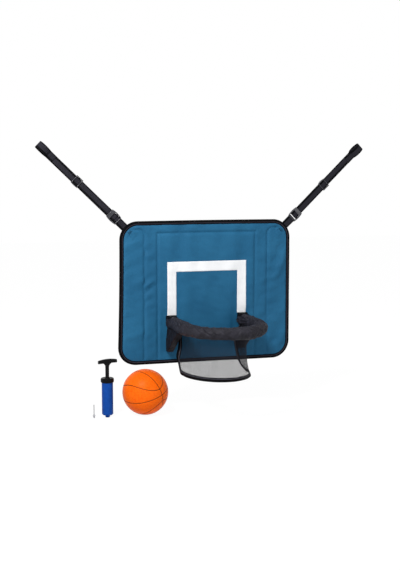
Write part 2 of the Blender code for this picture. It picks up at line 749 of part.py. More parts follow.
def net_waist(x, share_down):
    """How far the skirt draws in on its right side."""
    down = min(share_down / NET_WAIST_START_SHARE, 1)
    right = min(max(x / HEM_HALF_WIDTH, 0), 1)
    reach = NET_WAIST * (1 - share_down ** NET_WAIST_END_SHARE)
    return reach * down * down * (3 - 2 * down) * right * right * (3 - 2 * right)


def net_flare(distance, share_down):
    """How far the skirt's left free edge turns outwards."""
    place = (share_down - NET_FLARE_PLACE_SHARE) / NET_FLARE_SPREAD_SHARE
    return NET_FLARE * exp(-place * place - distance / NET_FLARE_REACH)


def net_surface(paths, distance, drop, from_right=False):
    """A place on the skirt: how far it lies from a free edge and below the rim."""
    top, hem = paths
    top_height, hem_height = net_heights()
    share_down = drop / (top_height - hem_height)
    ease = share_down ** NET_EASE_SHARE
    row = path_length(top) * (1 - ease) + path_length(hem) * ease
    share = 1 - distance / row if from_right else distance / row
    a = along(top, share)
    b = along(hem, share)
    x = a[0] + (b[0] - a[0]) * ease
    x -= net_waist(x, share_down) + net_flare(share * row, share_down)
    return (x, a[1] + (b[1] - a[1]) * ease, top_height - drop)


def grid_object(name, rows, thickness, collection):
    """A sheet through rows of points, with a thickness."""
    mesh = bpy.data.meshes.new(name)
    width = len(rows[0])
    faces = []
    for r in range(len(rows) - 1):
        for c in range(width - 1):
            a = r * width + c
            faces.append((a, a + width, a + width + 1, a + 1))
    mesh.from_pydata([point for row in rows for point in row], [], faces)
    mesh.shade_smooth()
    obj = mesh_object(name, mesh, collection)
    shell = obj.modifiers.new("thickness", "SOLIDIFY")
    shell.thickness = thickness
    shell.offset = 0
    return obj


def make_net():
    """Mesh skirt: it fills the space inside the bound edges."""
    mesh_cloth = material("net_mesh", (0.05, 0.05, 0.055), 0.8)
    paths = net_paths()
    top_height, hem_height = net_heights()
    height = top_height - hem_height
    inset = NET_TAPE_WIDTH + NET_SEAM
    drops = [(height - NET_CORNER) * row / NET_ROWS for row in range(NET_ROWS)]
    margins = [inset] * NET_ROWS
    for step in range(NET_ROWS + 1):
        angle = pi / 2 * step / (NET_ROWS + 1)
        drops.append(height - NET_CORNER + (NET_CORNER - inset) * sin(angle))
        margins.append(NET_CORNER - (NET_CORNER - inset) * cos(angle))
    drops.append(height - inset)
    margins.append(NET_CORNER)
    rows = []
    for drop, margin in zip(drops, margins):
        ease = (drop / height) ** NET_EASE_SHARE
        row_length = path_length(paths[0]) * (1 - ease) + path_length(paths[1]) * ease
        row = []
        for column in range(NET_COLUMNS + 1):
            distance = margin + (row_length - 2 * margin) * column / NET_COLUMNS
            row.append(net_surface(paths, distance, drop))
        rows.append(row)
    net = grid_object("net_mesh", rows, NET, parts)
    net.data.materials.append(mesh_cloth)
    place(net, rim)


def make_net_binding():
    """Tape round the skirt's free edges and hem."""
    tape = material("net_tape", (0.015, 0.015, 0.018), 0.8)
    paths = net_paths()
    top_height, hem_height = net_heights()
    height = top_height - hem_height
    hem_length = path_length(paths[1])
    inner_radius = NET_CORNER - NET_TAPE_WIDTH
    edge = []
    for step in range(NET_ROWS):
        drop = (height - NET_CORNER) * step / NET_ROWS
        edge.append(((0, drop), (NET_TAPE_WIDTH, drop)))
    for step in range(CORNER_STEPS + 1):
        angle = pi / 2 * step / CORNER_STEPS
        centre = (NET_CORNER, height - NET_CORNER)
        edge.append(tuple((centre[0] - radius * cos(angle), centre[1] + radius * sin(angle))
                          for radius in (NET_CORNER, inner_radius)))
    rows = [[net_surface(paths, *outer), net_surface(paths, *inner)] for outer, inner in edge]
    middle = hem_length / 2
    across = []
    for column in range(1, NET_COLUMNS // 2):
        distance = NET_CORNER + (middle - NET_CORNER) * column * 2 / NET_COLUMNS
        across.append(((distance, height), (distance, height - NET_TAPE_WIDTH)))
    rows += [[net_surface(paths, *outer), net_surface(paths, *inner)] for outer, inner in across]
    for outer, inner in reversed(edge + across):
        rows.append([net_surface(paths, *outer, True), net_surface(paths, *inner, True)])
    binding = grid_object("net_binding", rows, NET_TAPE, parts)
    binding.data.materials.append(tape)
    place(binding, rim)


# Ball

def make_ball():
    rubber = material("ball_rubber", (0.90, 0.17, 0.012), 0.55)
    black = material("valve_rubber", (0.02, 0.02, 0.02), 0.6)
    shape = bmesh.new()
    bmesh.ops.create_uvsphere(shape, u_segments=BALL_SEGMENTS, v_segments=BALL_RINGS,
                              radius=BALL_RADIUS)
    shell = from_bmesh("ball_shell", shape, parts)
    shell.data.shade_smooth()
    shell.data.materials.append(rubber)
    place(shell, ball)
    wall = shell.modifiers.new("wall", "SOLIDIFY")
    wall.thickness = BALL_WALL
    wall.offset = -1
    hole = cylinder("valve_hole", VALVE_RADIUS + GAP, 4 * BALL_WALL, cutters)
    back = (radians(-90), 0, 0)
    combine(shell, place(hole, ball, (0, BALL_RADIUS - BALL_WALL / 2, 0), back), "DIFFERENCE")
    flats = BALL_RADIUS * (1 - cos(pi / BALL_SEGMENTS) * cos(pi / BALL_RINGS / 2))
    seat = -BALL_WALL - flats - 2 * GAP
    profile = [(VALVE_BORE, -BALL_WALL / 4), (VALVE_RADIUS, -BALL_WALL / 4), (VALVE_RADIUS, seat),
               (VALVE_FLANGE_RADIUS, seat), (VALVE_FLANGE_RADIUS, seat - VALVE_FLANGE),
               (VALVE_RADIUS, seat - VALVE_FLANGE), (VALVE_RADIUS, -VALVE_LENGTH),
               (VALVE_BORE, -VALVE_LENGTH)]
    valve = turned("ball_valve", profile, parts, closed=True, steps=BAR_SIDES)
    valve.data.materials.append(black)
    place(valve, ball, (0, BALL_RADIUS, 0), back)


# Hand pump. Heights are above the surface that it stands on.

BARREL_BOTTOM = NOZZLE_HEIGHT
CAP_BOTTOM = BARREL_BOTTOM + BARREL_SHOWN
CAP_TOP = CAP_BOTTOM + CAP_HEIGHT
BARREL_TOP = CAP_TOP - CAP_PLATE - GAP
BARREL_BORE = BARREL_RADIUS - BARREL_WALL
HANDLE_BOTTOM = CAP_TOP + ROD_SHOWN
CHECK_VALVE_TOP = BARREL_BOTTOM + BARREL_FLOOR + GAP + CHECK_VALVE
PISTON_BOTTOM = CHECK_VALVE_TOP + PISTON_CLEARANCE + ROD_SHOWN


def make_barrel():
    blue = material("pump_blue", (0.014, 0.090, 0.420), 0.35)
    neck = NOZZLE_NECK_RADIUS + GAP
    floor = BARREL_BOTTOM + BARREL_FLOOR
    profile = [(BARREL_RADIUS, BARREL_TOP), (BARREL_RADIUS, BARREL_BOTTOM + BARREL_CHAMFER),
               (BARREL_RADIUS - BARREL_CHAMFER, BARREL_BOTTOM), (neck, BARREL_BOTTOM),
               (neck, floor), (BARREL_BORE, floor), (BARREL_BORE, BARREL_TOP)]
    barrel = turned("pump_barrel", profile, parts, closed=True)
    barrel.data.materials.append(blue)
    place(barrel, pump)


def make_cap():
    black = material("pump_black", (0.02, 0.02, 0.022), 0.45)
    rod_hole = ROD_RADIUS + GAP
    skirt = BARREL_RADIUS + GAP
    plate_under = CAP_TOP - CAP_PLATE
    chamfer = CAP_PLATE / 3
    profile = [(rod_hole, CAP_TOP), (CAP_RADIUS - chamfer, CAP_TOP),
               (CAP_RADIUS, CAP_TOP - chamfer), (CAP_RADIUS, CAP_BOTTOM), (skirt, CAP_BOTTOM),
               (skirt, plate_under), (rod_hole, plate_under)]
    cap = turned("pump_cap", profile, parts, closed=True)
    cap.data.materials.append(black)
    place(cap, pump)


def make_nozzle():
    blue = material("nozzle_blue", (0.014, 0.090, 0.420), 0.35)
    rubber = material("check_valve_rubber", (0.30, 0.28, 0.25), 0.7)
    shoulder = BARREL_BOTTOM - GAP
    neck_top = BARREL_BOTTOM + BARREL_FLOOR - GAP
    chamfer = NOZZLE_RADIUS / 6
    profile = [(NOZZLE_BORE, neck_top), (NOZZLE_NECK_RADIUS, neck_top),
               (NOZZLE_NECK_RADIUS, shoulder), (NOZZLE_RADIUS, shoulder),
               (NOZZLE_RADIUS, chamfer), (NOZZLE_RADIUS - chamfer, 0), (NOZZLE_BORE, 0)]
    nozzle = turned("pump_nozzle", profile, parts, closed=True)
    nozzle.data.materials.append(blue)
    place(nozzle, pump)
    under = BARREL_BOTTOM + BARREL_FLOOR + GAP
    disc = [(0, CHECK_VALVE_TOP), (CHECK_VALVE_RADIUS, CHECK_VALVE_TOP - CHECK_VALVE / 3),
            (CHECK_VALVE_RADIUS, under), (0, under)]
    valve = turned("pump_check_valve", disc, parts)
    valve.data.materials.append(rubber)
    place(valve, pump)


def make_plunger():
    """Handle, rod, piston and seal: they slide together."""
    black = material("handle_black", (0.02, 0.02, 0.022), 0.45)
    rod_black = material("rod_black", (0.025, 0.025, 0.028), 0.35)
    grey = material("piston_grey", (0.45, 0.46, 0.48), 0.5)
    rubber = material("seal_rubber", (0.03, 0.03, 0.03), 0.7)
    socket_top = HANDLE_BOTTOM + HANDLE_SOCKET
    flare_top = HANDLE_BOTTOM + HANDLE_FLARE
    socket = ROD_RADIUS + GAP
    bar_middle = flare_top + HANDLE_BAR / 2
    # The foot flares up into the crossbar and is hollow where the rod sits
    profile = [(0, bar_middle)]
    for step in range(CORNER_STEPS + 1):
        share = step / CORNER_STEPS
        flare = HANDLE_FOOT_RADIUS + (HANDLE_FLARE_RADIUS - HANDLE_FOOT_RADIUS) * (1 - share) ** 2
        profile.append((flare, bar_middle + (HANDLE_BOTTOM - bar_middle) * share))
    profile += [(socket, HANDLE_BOTTOM), (socket, socket_top), (0, socket_top)]
    handle = turned("pump_handle", profile, parts)
    handle.data.materials.append(black)
    place(handle, plunger)
    half = HANDLE_WIDTH / 2 - HANDLE_BAR / 2
    bar_points = [(-half - HANDLE_BAR * share, 0, bar_middle) for share in END_SHARES]
    bar_radii = [sqrt(1 - (2 * share) ** 2) for share in END_SHARES]
    bar_points += [(-x, y, z) for x, y, z in reversed(bar_points)]
    bar_radii += bar_radii[::-1]
    crossbar = tube("handle_crossbar", bar_points, HANDLE_BAR / 2, cutters, FOAM_BEVEL_STEPS, bar_radii)
    combine(handle, place(crossbar, plunger), "UNION")
    piston_top = PISTON_BOTTOM + PISTON
    piston_radius = BARREL_BORE - PISTON_CLEARANCE
    groove = piston_radius - SEAL_DEPTH
    rod = turned("pump_rod", [(0, socket_top - GAP), (ROD_RADIUS, socket_top - GAP),
                              (ROD_RADIUS, piston_top - PISTON / 2 + GAP),
                              (0, piston_top - PISTON / 2 + GAP)], parts)
    rod.data.materials.append(rod_black)
    place(rod, plunger)
    low = PISTON_BOTTOM + PISTON_RIM
    high = piston_top - PISTON_RIM
    piston = turned("pump_piston", [(socket, piston_top), (piston_radius, piston_top),
                                    (piston_radius, high), (groove, high), (groove, low),
                                    (piston_radius, low), (piston_radius, PISTON_BOTTOM),
                                    (0, PISTON_BOTTOM), (0, piston_top - PISTON / 2),
                                    (socket, piston_top - PISTON / 2)], parts, closed=True)
    piston.data.materials.append(grey)
    place(piston, plunger)
    seal_outside = BARREL_BORE - GAP
    seal_inside = groove + GAP
    seal_edge = seal_outside - SEAL_DEPTH / 4
    middle = (low + high) / 2
    seal = turned("piston_seal", [(seal_edge, high - GAP), (seal_outside, middle),
                                  (seal_edge, low + GAP), (seal_inside, low + GAP),
                                  (seal_inside, high - GAP)], parts, closed=True)
    seal.data.materials.append(rubber)
    place(seal, plunger)


# Shares of the crossbar's thickness at which its round ends are drawn
END_SHARES = (0.49, 0.45, 0.36, 0.20, 0.0)


# Needle. Heights are above the surface that it stands on.

def make_needle():
    steel = material("needle_steel", (0.70, 0.70, 0.72), 0.25, 1.0)
    hub_steel = material("hub_steel", (0.62, 0.62, 0.64), 0.3, 1.0)
    step_height = HUB_LENGTH - HUB_SOCKET
    tip = NEEDLE_RADIUS / 2
    tube_profile = [(NEEDLE_BORE, NEEDLE_LENGTH), (NEEDLE_RADIUS - tip / 2, NEEDLE_LENGTH),
                    (NEEDLE_RADIUS, NEEDLE_LENGTH - tip), (NEEDLE_RADIUS, step_height + GAP),
                    (NEEDLE_BORE, step_height + GAP)]
    shaft = turned("needle_tube", tube_profile, parts, closed=True, steps=BAR_SIDES)
    shaft.data.materials.append(steel)
    place(shaft, needle)
    socket = NEEDLE_RADIUS + GAP
    neck = (HUB_RADIUS + socket) / 2
    hub_profile = [(socket, HUB_LENGTH), (neck, HUB_LENGTH),
                   (HUB_RADIUS, HUB_LENGTH - HUB_RADIUS / 2), (HUB_RADIUS, HUB_THREAD_LENGTH),
                   (HUB_THREAD_RADIUS, HUB_THREAD_LENGTH), (HUB_THREAD_RADIUS, 0), (HUB_BORE, 0),
                   (HUB_BORE, step_height), (socket, step_height)]
    hub = turned("needle_hub", hub_profile, parts, closed=True, steps=BAR_SIDES)
    hub.data.materials.append(hub_steel)
    place(hub, needle)


# Assembly

for old in list(bpy.data.objects):
    bpy.data.objects.remove(old, do_unlink=True)

SIDES = (("left", -1), ("right", 1))
parts = new_collection("basketball_hoop")
cutters = new_collection("cutters")

root = carrier("straps", (0, 0, 0))
board = carrier("board_swing", (0, 0, BOARD_MIDDLE + SWING_HEIGHT), root)
rim = carrier("rim_fold", (0, -RIM_HINGE_DEPTH, RIM_HINGE_HEIGHT - SWING_HEIGHT), board)
ball = carrier("ball_lift", (BALL_X, 0, GROUND + BALL_RADIUS), root)
pump = carrier("pump_lift", (PUMP_X, 0, GROUND), root)
plunger = carrier("plunger_slide", (0, 0, 0), pump)
needle = carrier("needle_lift", (NEEDLE_X, 0, GROUND), root)

corners = {}
for WORD, SIDE in SIDES:
    # A turn about Y points local X up the strap, outwards to its own side
    LEAN = (0, radians(-STRAP_ANGLE if SIDE > 0 else STRAP_ANGLE - 180), 0)
    corners[WORD] = carrier(WORD + "_corner", (SIDE * CORNER_X, 0, CORNER_Z - SWING_HEIGHT), board,
                            LEAN)
    STRAP = carrier(WORD + "_strap", (SIDE * CORNER_X, 0, BOARD_MIDDLE + CORNER_Z), root, LEAN)
    REACH = LEFT_GLIDE_REACH if SIDE < 0 else RIGHT_GLIDE_REACH
    make_webbing(WORD, STRAP, REACH)
    make_ladder_lock(WORD, STRAP)
    make_tab_loop(WORD, STRAP)
    make_tri_glide(WORD, carrier(WORD + "_keeper", (REACH, 0, 0), STRAP))

make_panels()
make_pads()
make_binding()
make_target()
make_rim_patches()
make_tab_anchors()
make_sleeve()
make_rim_foam()
make_rim_core()
make_wedges()
make_flaps()
make_net()
make_net_binding()
make_ball()
make_barrel()
make_cap()
make_nozzle()
make_plunger()
make_needle()
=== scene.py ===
"""Looks of a soft hanging basketball hoop and its set pieces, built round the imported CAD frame.

Metres, +Z up, X along the board, and the rim points to -Y, as in the frame.
"""
from math import cos, pi, radians, sin, sqrt

import bmesh
import bpy
import numpy as np
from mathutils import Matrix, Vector


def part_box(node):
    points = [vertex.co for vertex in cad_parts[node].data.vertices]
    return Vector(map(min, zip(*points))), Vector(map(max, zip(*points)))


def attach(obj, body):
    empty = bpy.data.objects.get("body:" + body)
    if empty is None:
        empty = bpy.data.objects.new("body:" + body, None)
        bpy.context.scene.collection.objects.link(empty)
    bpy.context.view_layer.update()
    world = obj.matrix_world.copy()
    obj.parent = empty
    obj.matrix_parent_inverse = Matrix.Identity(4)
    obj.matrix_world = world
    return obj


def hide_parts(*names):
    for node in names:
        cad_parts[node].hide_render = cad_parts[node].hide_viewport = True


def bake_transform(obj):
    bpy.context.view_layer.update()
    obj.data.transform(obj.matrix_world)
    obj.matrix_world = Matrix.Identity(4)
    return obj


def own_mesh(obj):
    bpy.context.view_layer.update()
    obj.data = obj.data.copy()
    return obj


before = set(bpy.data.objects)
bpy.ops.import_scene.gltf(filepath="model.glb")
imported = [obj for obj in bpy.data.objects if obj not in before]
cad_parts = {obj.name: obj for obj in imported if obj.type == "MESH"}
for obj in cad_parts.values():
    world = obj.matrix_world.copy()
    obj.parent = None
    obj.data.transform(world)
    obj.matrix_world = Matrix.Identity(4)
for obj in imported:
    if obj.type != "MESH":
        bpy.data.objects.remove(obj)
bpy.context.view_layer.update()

# Places and sizes read from the frame
BOARD_LOW, BOARD_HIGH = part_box("edge_binding")
HALF_WIDTH = BOARD_HIGH.x
HALF_HEIGHT = (BOARD_HIGH.z - BOARD_LOW.z) / 2
BOARD_MIDDLE = (BOARD_HIGH.z + BOARD_LOW.z) / 2
FRONT_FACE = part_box("front_panel")[0].y
BACK_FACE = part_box("back_panel")[1].y
PRINT_LOW, PRINT_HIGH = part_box("target_print")
RIM_LOW, RIM_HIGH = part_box("rim_cover")
RIM_RADIUS = (RIM_HIGH.z - RIM_LOW.z) / 2
RIM_HALF_WIDTH = RIM_HIGH.x - RIM_RADIUS
RIM_END = RIM_HIGH.y
RIM_MIDDLE = RIM_HIGH.z - RIM_RADIUS
RIM_FRONT = RIM_END - RIM_LOW.y - RIM_RADIUS
WEDGE_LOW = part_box("right_wedge")[0]
SKIRT_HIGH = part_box("net_binding")[1].z
BALL_LOW, BALL_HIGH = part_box("ball_shell")
BALL_CENTRE = (BALL_LOW + BALL_HIGH) / 2
BALL_RADIUS = (BALL_HIGH.z - BALL_LOW.z) / 2
BARREL_LOW, BARREL_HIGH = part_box("pump_barrel")
PUMP_X = (BARREL_LOW.x + BARREL_HIGH.x) / 2
CAP_LOW, CAP_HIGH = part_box("pump_cap")
NOZZLE_LOW, NOZZLE_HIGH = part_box("pump_nozzle")
HANDLE_LOW, HANDLE_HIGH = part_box("pump_handle")
ROD_LOW, ROD_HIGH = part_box("pump_rod")
NEEDLE_LOW, NEEDLE_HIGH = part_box("needle_tube")
HUB_LOW, HUB_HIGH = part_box("needle_hub")
GROUND = HUB_LOW.z

# Sizes that the boxes don't give, the same as in the CAD
BOARD_CORNER = 0.058
BINDING_WIDTH = 0.013
POCKET_INNER = 0.1635
POCKET_OUTER = 0.2057
TOP_SEAM_DROP = 0.039
TARGET_BAND = 0.0301
TARGET_TOP_BAND = 0.0320
STRAP_ANGLE = radians(44.0)
WEBBING_WIDTH = 0.025
WEBBING = 0.0014
STRAP_REACH = 0.348
ANCHOR_DEPTH = 0.045
EYE_LENGTH = 0.040
EYE_HEIGHT = 0.026
LOOP_SEAM = 0.026
KEEPER_REACH = {"left": 0.206, "right": 0.187}
TAIL_PAST_KEEPER = 0.009
LOCK_REACH = 0.049
LOCK_LENGTH = 0.036
LOCK_BAR_RADIUS = 0.0013
LOCK_GRIP = 0.012
TAB_SLACK = {"left": 0.0038, "right": 0.0010}     # how loosely the corner's webbing turns
LAYER = 0.00085                 # from the strap's mid-plane to each webbing layer
END_BAR_WIDTH = 0.0280
END_BAR_RADII = (0.0011, 0.0016)
RIM_LEG = 0.145
FLAP_WIDTH = 0.034
FLAP_LENGTH = 0.020
NET_INSET = 0.017
NET_START = 0.026
HEM_HALF_WIDTH = 0.105
HEM_SWAY = 0.020
HEM_START = 0.095
HEM_LEG = 0.050
HEM_FRONT = 0.137
NET_TAPE_WIDTH = 0.013
NET_CORNER = 0.040
NET_EASE = 1.5
NET_HEM_DROP = 0.166
NET_WAIST = 0.033
NET_TURN = 0.0105               # how far the skirt's free edges turn to the front
NET_TURN_REACH = 0.011
NET_WAIST_START = 0.24
NET_WAIST_END = 2.6
NET_FLARE = 0.008
NET_FLARE_REACH = 0.035
NET_FLARE_PLACE = 0.64
NET_FLARE_SPREAD = 0.14

SIDES = (("left", -1), ("right", 1))
CORNER_X = HALF_WIDTH - BOARD_CORNER + BOARD_CORNER * cos(STRAP_ANGLE)
CORNER_Z = BOARD_MIDDLE + HALF_HEIGHT - BOARD_CORNER + BOARD_CORNER * sin(STRAP_ANGLE)


# Colours, as seen on a screen from 0 to 255

def colour(red, green, blue):
    """A screen colour in the linear light that shaders use."""
    values = []
    for value in (red, green, blue):
        share = value / 255
        values.append(share / 12.92 if share <= 0.04045 else ((share + 0.055) / 1.055) ** 2.4)
    return (*values, 1.0)


BOARD_BLUE = colour(37, 100, 137)
BOARD_DEEP = colour(30, 89, 125)
TARGET_WHITE = colour(244, 245, 247)
TARGET_SHADE = colour(238, 240, 242)
TAPE_BLACK = colour(4, 4, 6)
# Painted highlight: the grey band along the net's black tape, for light on its rounded fold
TAPE_HIGHLIGHT = colour(76, 74, 82)
# Painted highlight: the grey band along the board's black binding, for light on its rounded fold
BINDING_HIGHLIGHT = colour(64, 60, 72)
# Painted shade: the darker edges along the grey webbing
WEB_EDGE_SHADE = colour(8, 8, 11)
WEB_GREY = colour(46, 45, 52)
SLEEVE_GREY = colour(45, 44, 52)
SLEEVE_DARK = colour(32, 31, 37)
WEDGE_BLACK = colour(33, 31, 37)
WEDGE_DARK = colour(22, 21, 25)
FLAP_BLACK = colour(15, 14, 17)
FLAP_DARK = colour(9, 9, 11)
NET_BLACK = colour(34, 34, 40)
BUCKLE_BLACK = colour(38, 38, 45)
THREAD_BLUE = colour(22, 62, 92)
THREAD_BLACK = colour(20, 19, 23)
THREAD_DEEP = colour(10, 32, 54)
BALL_ORANGE = colour(252, 112, 18)
BALL_DEEP = colour(242, 88, 6)
SEAM_BROWN = colour(84, 34, 8)
PUMP_BLUE = colour(22, 75, 162)
PUMP_BLACK = colour(8, 8, 10)
STEEL_GREY = colour(190, 190, 194)
TUBE_GREY = colour(74, 74, 78)
PISTON_GREY = colour(176, 178, 182)
RUBBER_BLACK = colour(38, 37, 38)
FOAM_WHITE = colour(236, 235, 230)
FOAM_GREY = colour(92, 92, 94)
BATTEN_WHITE = colour(217, 218, 220)
FLOOR_GREY = colour(214, 214, 214)


# Shaders

def make_node(tree, kind, inputs=(), **settings):
    """A shader node; each input is given a value or another node's output."""
    made = tree.nodes.new("ShaderNode" + kind)
    for name, value in settings.items():
        setattr(made, name, value)
    for key, value in dict(inputs).items():
        if isinstance(value, bpy.types.NodeSocket):
            tree.links.new(value, made.inputs[key])
        else:
            made.inputs[key].default_value = value
    return made


def darker(base, share):
    return (*(value * share for value in base[:3]), 1.0)


class Finish:
    """A material and the nodes that make it; UV coordinates and places are in metres."""

    def __init__(self, name, roughness, specular=0.3, metallic=0.0):
        self.material = bpy.data.materials.new(name)
        self.material.use_nodes = True
        self.tree = self.material.node_tree
        self.shader = self.tree.nodes["Principled BSDF"]
        self.shader.inputs["Roughness"].default_value = roughness
        self.shader.inputs["Specular IOR Level"].default_value = specular
        self.shader.inputs["Metallic"].default_value = metallic
        self.height = None

    def node(self, kind, inputs=(), **settings):
        return make_node(self.tree, kind, inputs, **settings)

    def math(self, operation, first, second=0.0):
        return self.node("Math", {0: first, 1: second}, operation=operation).outputs[0]

    def uv(self):
        parts = self.node("SeparateXYZ", {0: self.node("UVMap").outputs["UV"]})
        return parts.outputs["X"], parts.outputs["Y"]

    def place(self):
        return self.node("TexCoord").outputs["Object"]

    def wave(self, value, pitch):
        """A smooth wave from 0 to 1 with a pitch in metres."""
        turned = self.math("SINE", self.math("MULTIPLY", value, 2 * pi / pitch))
        return self.math("MULTIPLY_ADD", turned, 0.5)

    def noise(self, size, detail=2.0, where=None):
        made = self.node("TexNoise", {"Vector": where or self.place(), "Scale": 1 / size,
                                      "Detail": detail})
        return made.outputs["Fac"]

    def band(self, value, low, high):
        """0 below a value, 1 above another, smooth in between."""
        made = self.node("MapRange", {"Value": value, "From Min": low, "From Max": high},
                         interpolation_type="SMOOTHSTEP")
        return made.outputs["Result"]

    def mix(self, share, first, second):
        made = self.node("Mix", {"Factor": share, "A": first, "B": second}, data_type="RGBA")
        return made.outputs["Result"]

    def paint(self, socket):
        self.tree.links.new(socket, self.shader.inputs["Base Color"])
        return self

    def bump(self, height, distance):
        """Adds fine relief of a real depth."""
        inputs = {"Height": height, "Distance": distance, "Strength": 1.0}
        if self.height:
            inputs["Normal"] = self.height
        self.height = self.node("Bump", inputs).outputs["Normal"]
        self.tree.links.new(self.height, self.shader.inputs["Normal"])
        return self

    def vary(self, name, socket, low, high):
        """Lets a shader value run between two numbers."""
        made = self.node("MapRange", {"Value": socket, "To Min": low, "To Max": high})
        self.tree.links.new(made.outputs["Result"], self.shader.inputs[name])
        return self


def woven(name, light, dark, pitch, roughness, patch, specular):
    """Plain-woven cloth: threads both ways, and slow changes of shade."""
    finish = Finish(name, roughness, specular)
    across, up = finish.uv()
    threads = finish.math("MULTIPLY", finish.wave(across, pitch), finish.wave(up, pitch))
    slow = finish.noise(patch, 3.0)
    fine = finish.noise(pitch * 6, 2.0)
    shade = finish.math("MULTIPLY_ADD", fine, 0.25)
    finish.tree.links.new(slow, shade.node.inputs[2])
    finish.paint(finish.mix(finish.band(shade, 0.35, 0.85), light, dark))
    finish.vary("Roughness", slow, roughness - 0.08, roughness + 0.08)
    finish.bump(threads, pitch / 8)
    finish.bump(fine, pitch / 3)
    return finish.material


def ribbed(name, light, dark, width, pitch, roughness, light_share, place=0.5, fold=0.0):
    """Webbing or tape: ribs across it, with a painted highlight along a tape's rounded fold or
    painted shade at a webbing's edges.

    The band lies at a place from 0 to 1 of the width. A folded tape's UV runs on round its fold.
    """
    finish = Finish(name, roughness, 0.05)
    along, across = finish.uv()
    ribs = finish.wave(along, pitch)
    if fold:
        share = finish.math("MULTIPLY", finish.math("PINGPONG", across, fold), 1 / width)
    else:
        share = finish.math("FRACT", finish.math("MULTIPLY", across, 1 / width))
    middle = finish.math("ABSOLUTE", finish.math("SUBTRACT", share, place))
    # Painted light and shade across the strip: a lighter band along it between darker edges
    edge = finish.band(middle, light_share / 2 - 0.06, light_share / 2 + 0.06)
    worn = finish.math("MULTIPLY", finish.noise(0.02, 3.0), 0.25)
    dim = finish.math("ADD", finish.math("MULTIPLY", ribs, 0.25), worn)
    finish.paint(finish.mix(finish.math("MAXIMUM", edge, dim), light, dark))
    finish.bump(ribs, pitch / 6)
    finish.bump(finish.noise(pitch, 2.0), pitch / 8)
    return finish.material


def moulded(name, base, roughness, specular=0.3, grain=0.0006, depth=0.00003):
    """Moulded plastic: a fine grain and a slightly uneven gloss."""
    finish = Finish(name, roughness, specular)
    slow = finish.noise(0.012, 3.0)
    finish.paint(finish.mix(finish.band(slow, 0.3, 0.8), base, darker(base, 0.82)))
    finish.vary("Roughness", slow, roughness - 0.06, roughness + 0.08)
    finish.bump(finish.noise(grain, 2.0), depth)
    return finish.material


def brushed(name, base, roughness):
    """Metal with fine turned lines."""
    finish = Finish(name, roughness, 0.5, metallic=1.0)
    slow = finish.noise(0.004, 2.0)
    finish.paint(finish.mix(slow, base, darker(base, 0.8)))
    finish.vary("Roughness", finish.noise(0.0008, 2.0), roughness - 0.08, roughness + 0.1)
    finish.bump(finish.noise(0.0005, 1.0), 0.00001)
    return finish.material


def foamed(name, base, cell=0.0012):
    """Foam: open cells."""
    finish = Finish(name, 0.9, 0.2)
    cells = finish.node("TexVoronoi", {"Vector": finish.place(), "Scale": 1 / cell}).outputs[0]
    finish.paint(finish.mix(cells, base, darker(base, 0.7)))
    finish.bump(cells, cell / 3)
    return finish.material


def pebbled(name, light, dark, pebble):
    """Ball rubber: small round pebbles with duller ground between them."""
    finish = Finish(name, 0.44, 0.06)
    cells = finish.node("TexVoronoi", {"Vector": finish.place(), "Scale": 1 / pebble},
                        feature="SMOOTH_F1").outputs["Distance"]
    dome = finish.math("SUBTRACT", 1.0, cells)
    slow = finish.noise(0.05, 3.0)
    share = finish.math("ADD", finish.band(cells, 0.35, 0.8), finish.math("MULTIPLY", slow, 0.3))
    finish.paint(finish.mix(share, light, dark))
    finish.vary("Roughness", cells, 0.30, 0.5)
    finish.bump(dome, pebble / 8)
    return finish.material


def netting(name, base, pitch, thread):
    """Fine mesh cloth: threads with open holes between them, staggered row by row."""
    finish = Finish(name, 0.8, 0.05)
    across, up = finish.uv()
    first = finish.math("ADD", across, up)
    second = finish.math("SUBTRACT", across, up)
    rows = finish.math("MULTIPLY", finish.wave(first, pitch), finish.wave(second, pitch))
    open_share = finish.band(rows, thread, thread + 0.10)
    closed = finish.math("SUBTRACT", 1.0, open_share)
    finish.tree.links.new(closed, finish.shader.inputs["Alpha"])
    finish.paint(finish.mix(finish.noise(0.01, 2.0), base, darker(base, 0.6)))
    finish.bump(rows, pitch / 6)
    return finish.material


board_cloth = woven("board_cloth", BOARD_BLUE, BOARD_DEEP, 0.0009, 0.55, 0.12, 0.12)
target_ink = woven("target_ink", TARGET_WHITE, TARGET_SHADE, 0.0009, 0.55, 0.05, 0.1)
sleeve_cloth = woven("sleeve_cloth", SLEEVE_GREY, SLEEVE_DARK, 0.0007, 0.55, 0.02, 0.12)
wedge_cloth = woven("wedge_cloth", WEDGE_BLACK, WEDGE_DARK, 0.0007, 0.55, 0.02, 0.08)
flap_cloth = woven("flap_cloth", FLAP_BLACK, FLAP_DARK, 0.0007, 0.7, 0.02, 0.05)
# The tape's grey band is a painted highlight; the webbing's darker edges are painted shade
tape_cloth = ribbed("tape_cloth", TAPE_HIGHLIGHT, TAPE_BLACK, NET_TAPE_WIDTH, 0.0013, 0.6, 0.17)
web_cloth = ribbed("web_cloth", WEB_GREY, WEB_EDGE_SHADE, WEBBING_WIDTH, 0.0017, 0.6, 0.54)
net_cloth = netting("net_cloth", NET_BLACK, 0.0022, 0.18)
buckle_plastic = moulded("buckle_plastic", BUCKLE_BLACK, 0.30, 0.5)
pump_blue = moulded("pump_blue", PUMP_BLUE, 0.38, 0.06)
pump_black = moulded("pump_black", PUMP_BLACK, 0.26, 0.10)
piston_grey = moulded("piston_grey", PISTON_GREY, 0.5)
batten_white = moulded("batten_white", BATTEN_WHITE, 0.5)
rubber_black = moulded("rubber_black", RUBBER_BLACK, 0.65)
ball_rubber = pebbled("ball_rubber", BALL_ORANGE, BALL_DEEP, 0.0024)
seam_rubber = moulded("seam_rubber", SEAM_BROWN, 0.55, 0.1)
steel = brushed("steel", STEEL_GREY, 0.28)
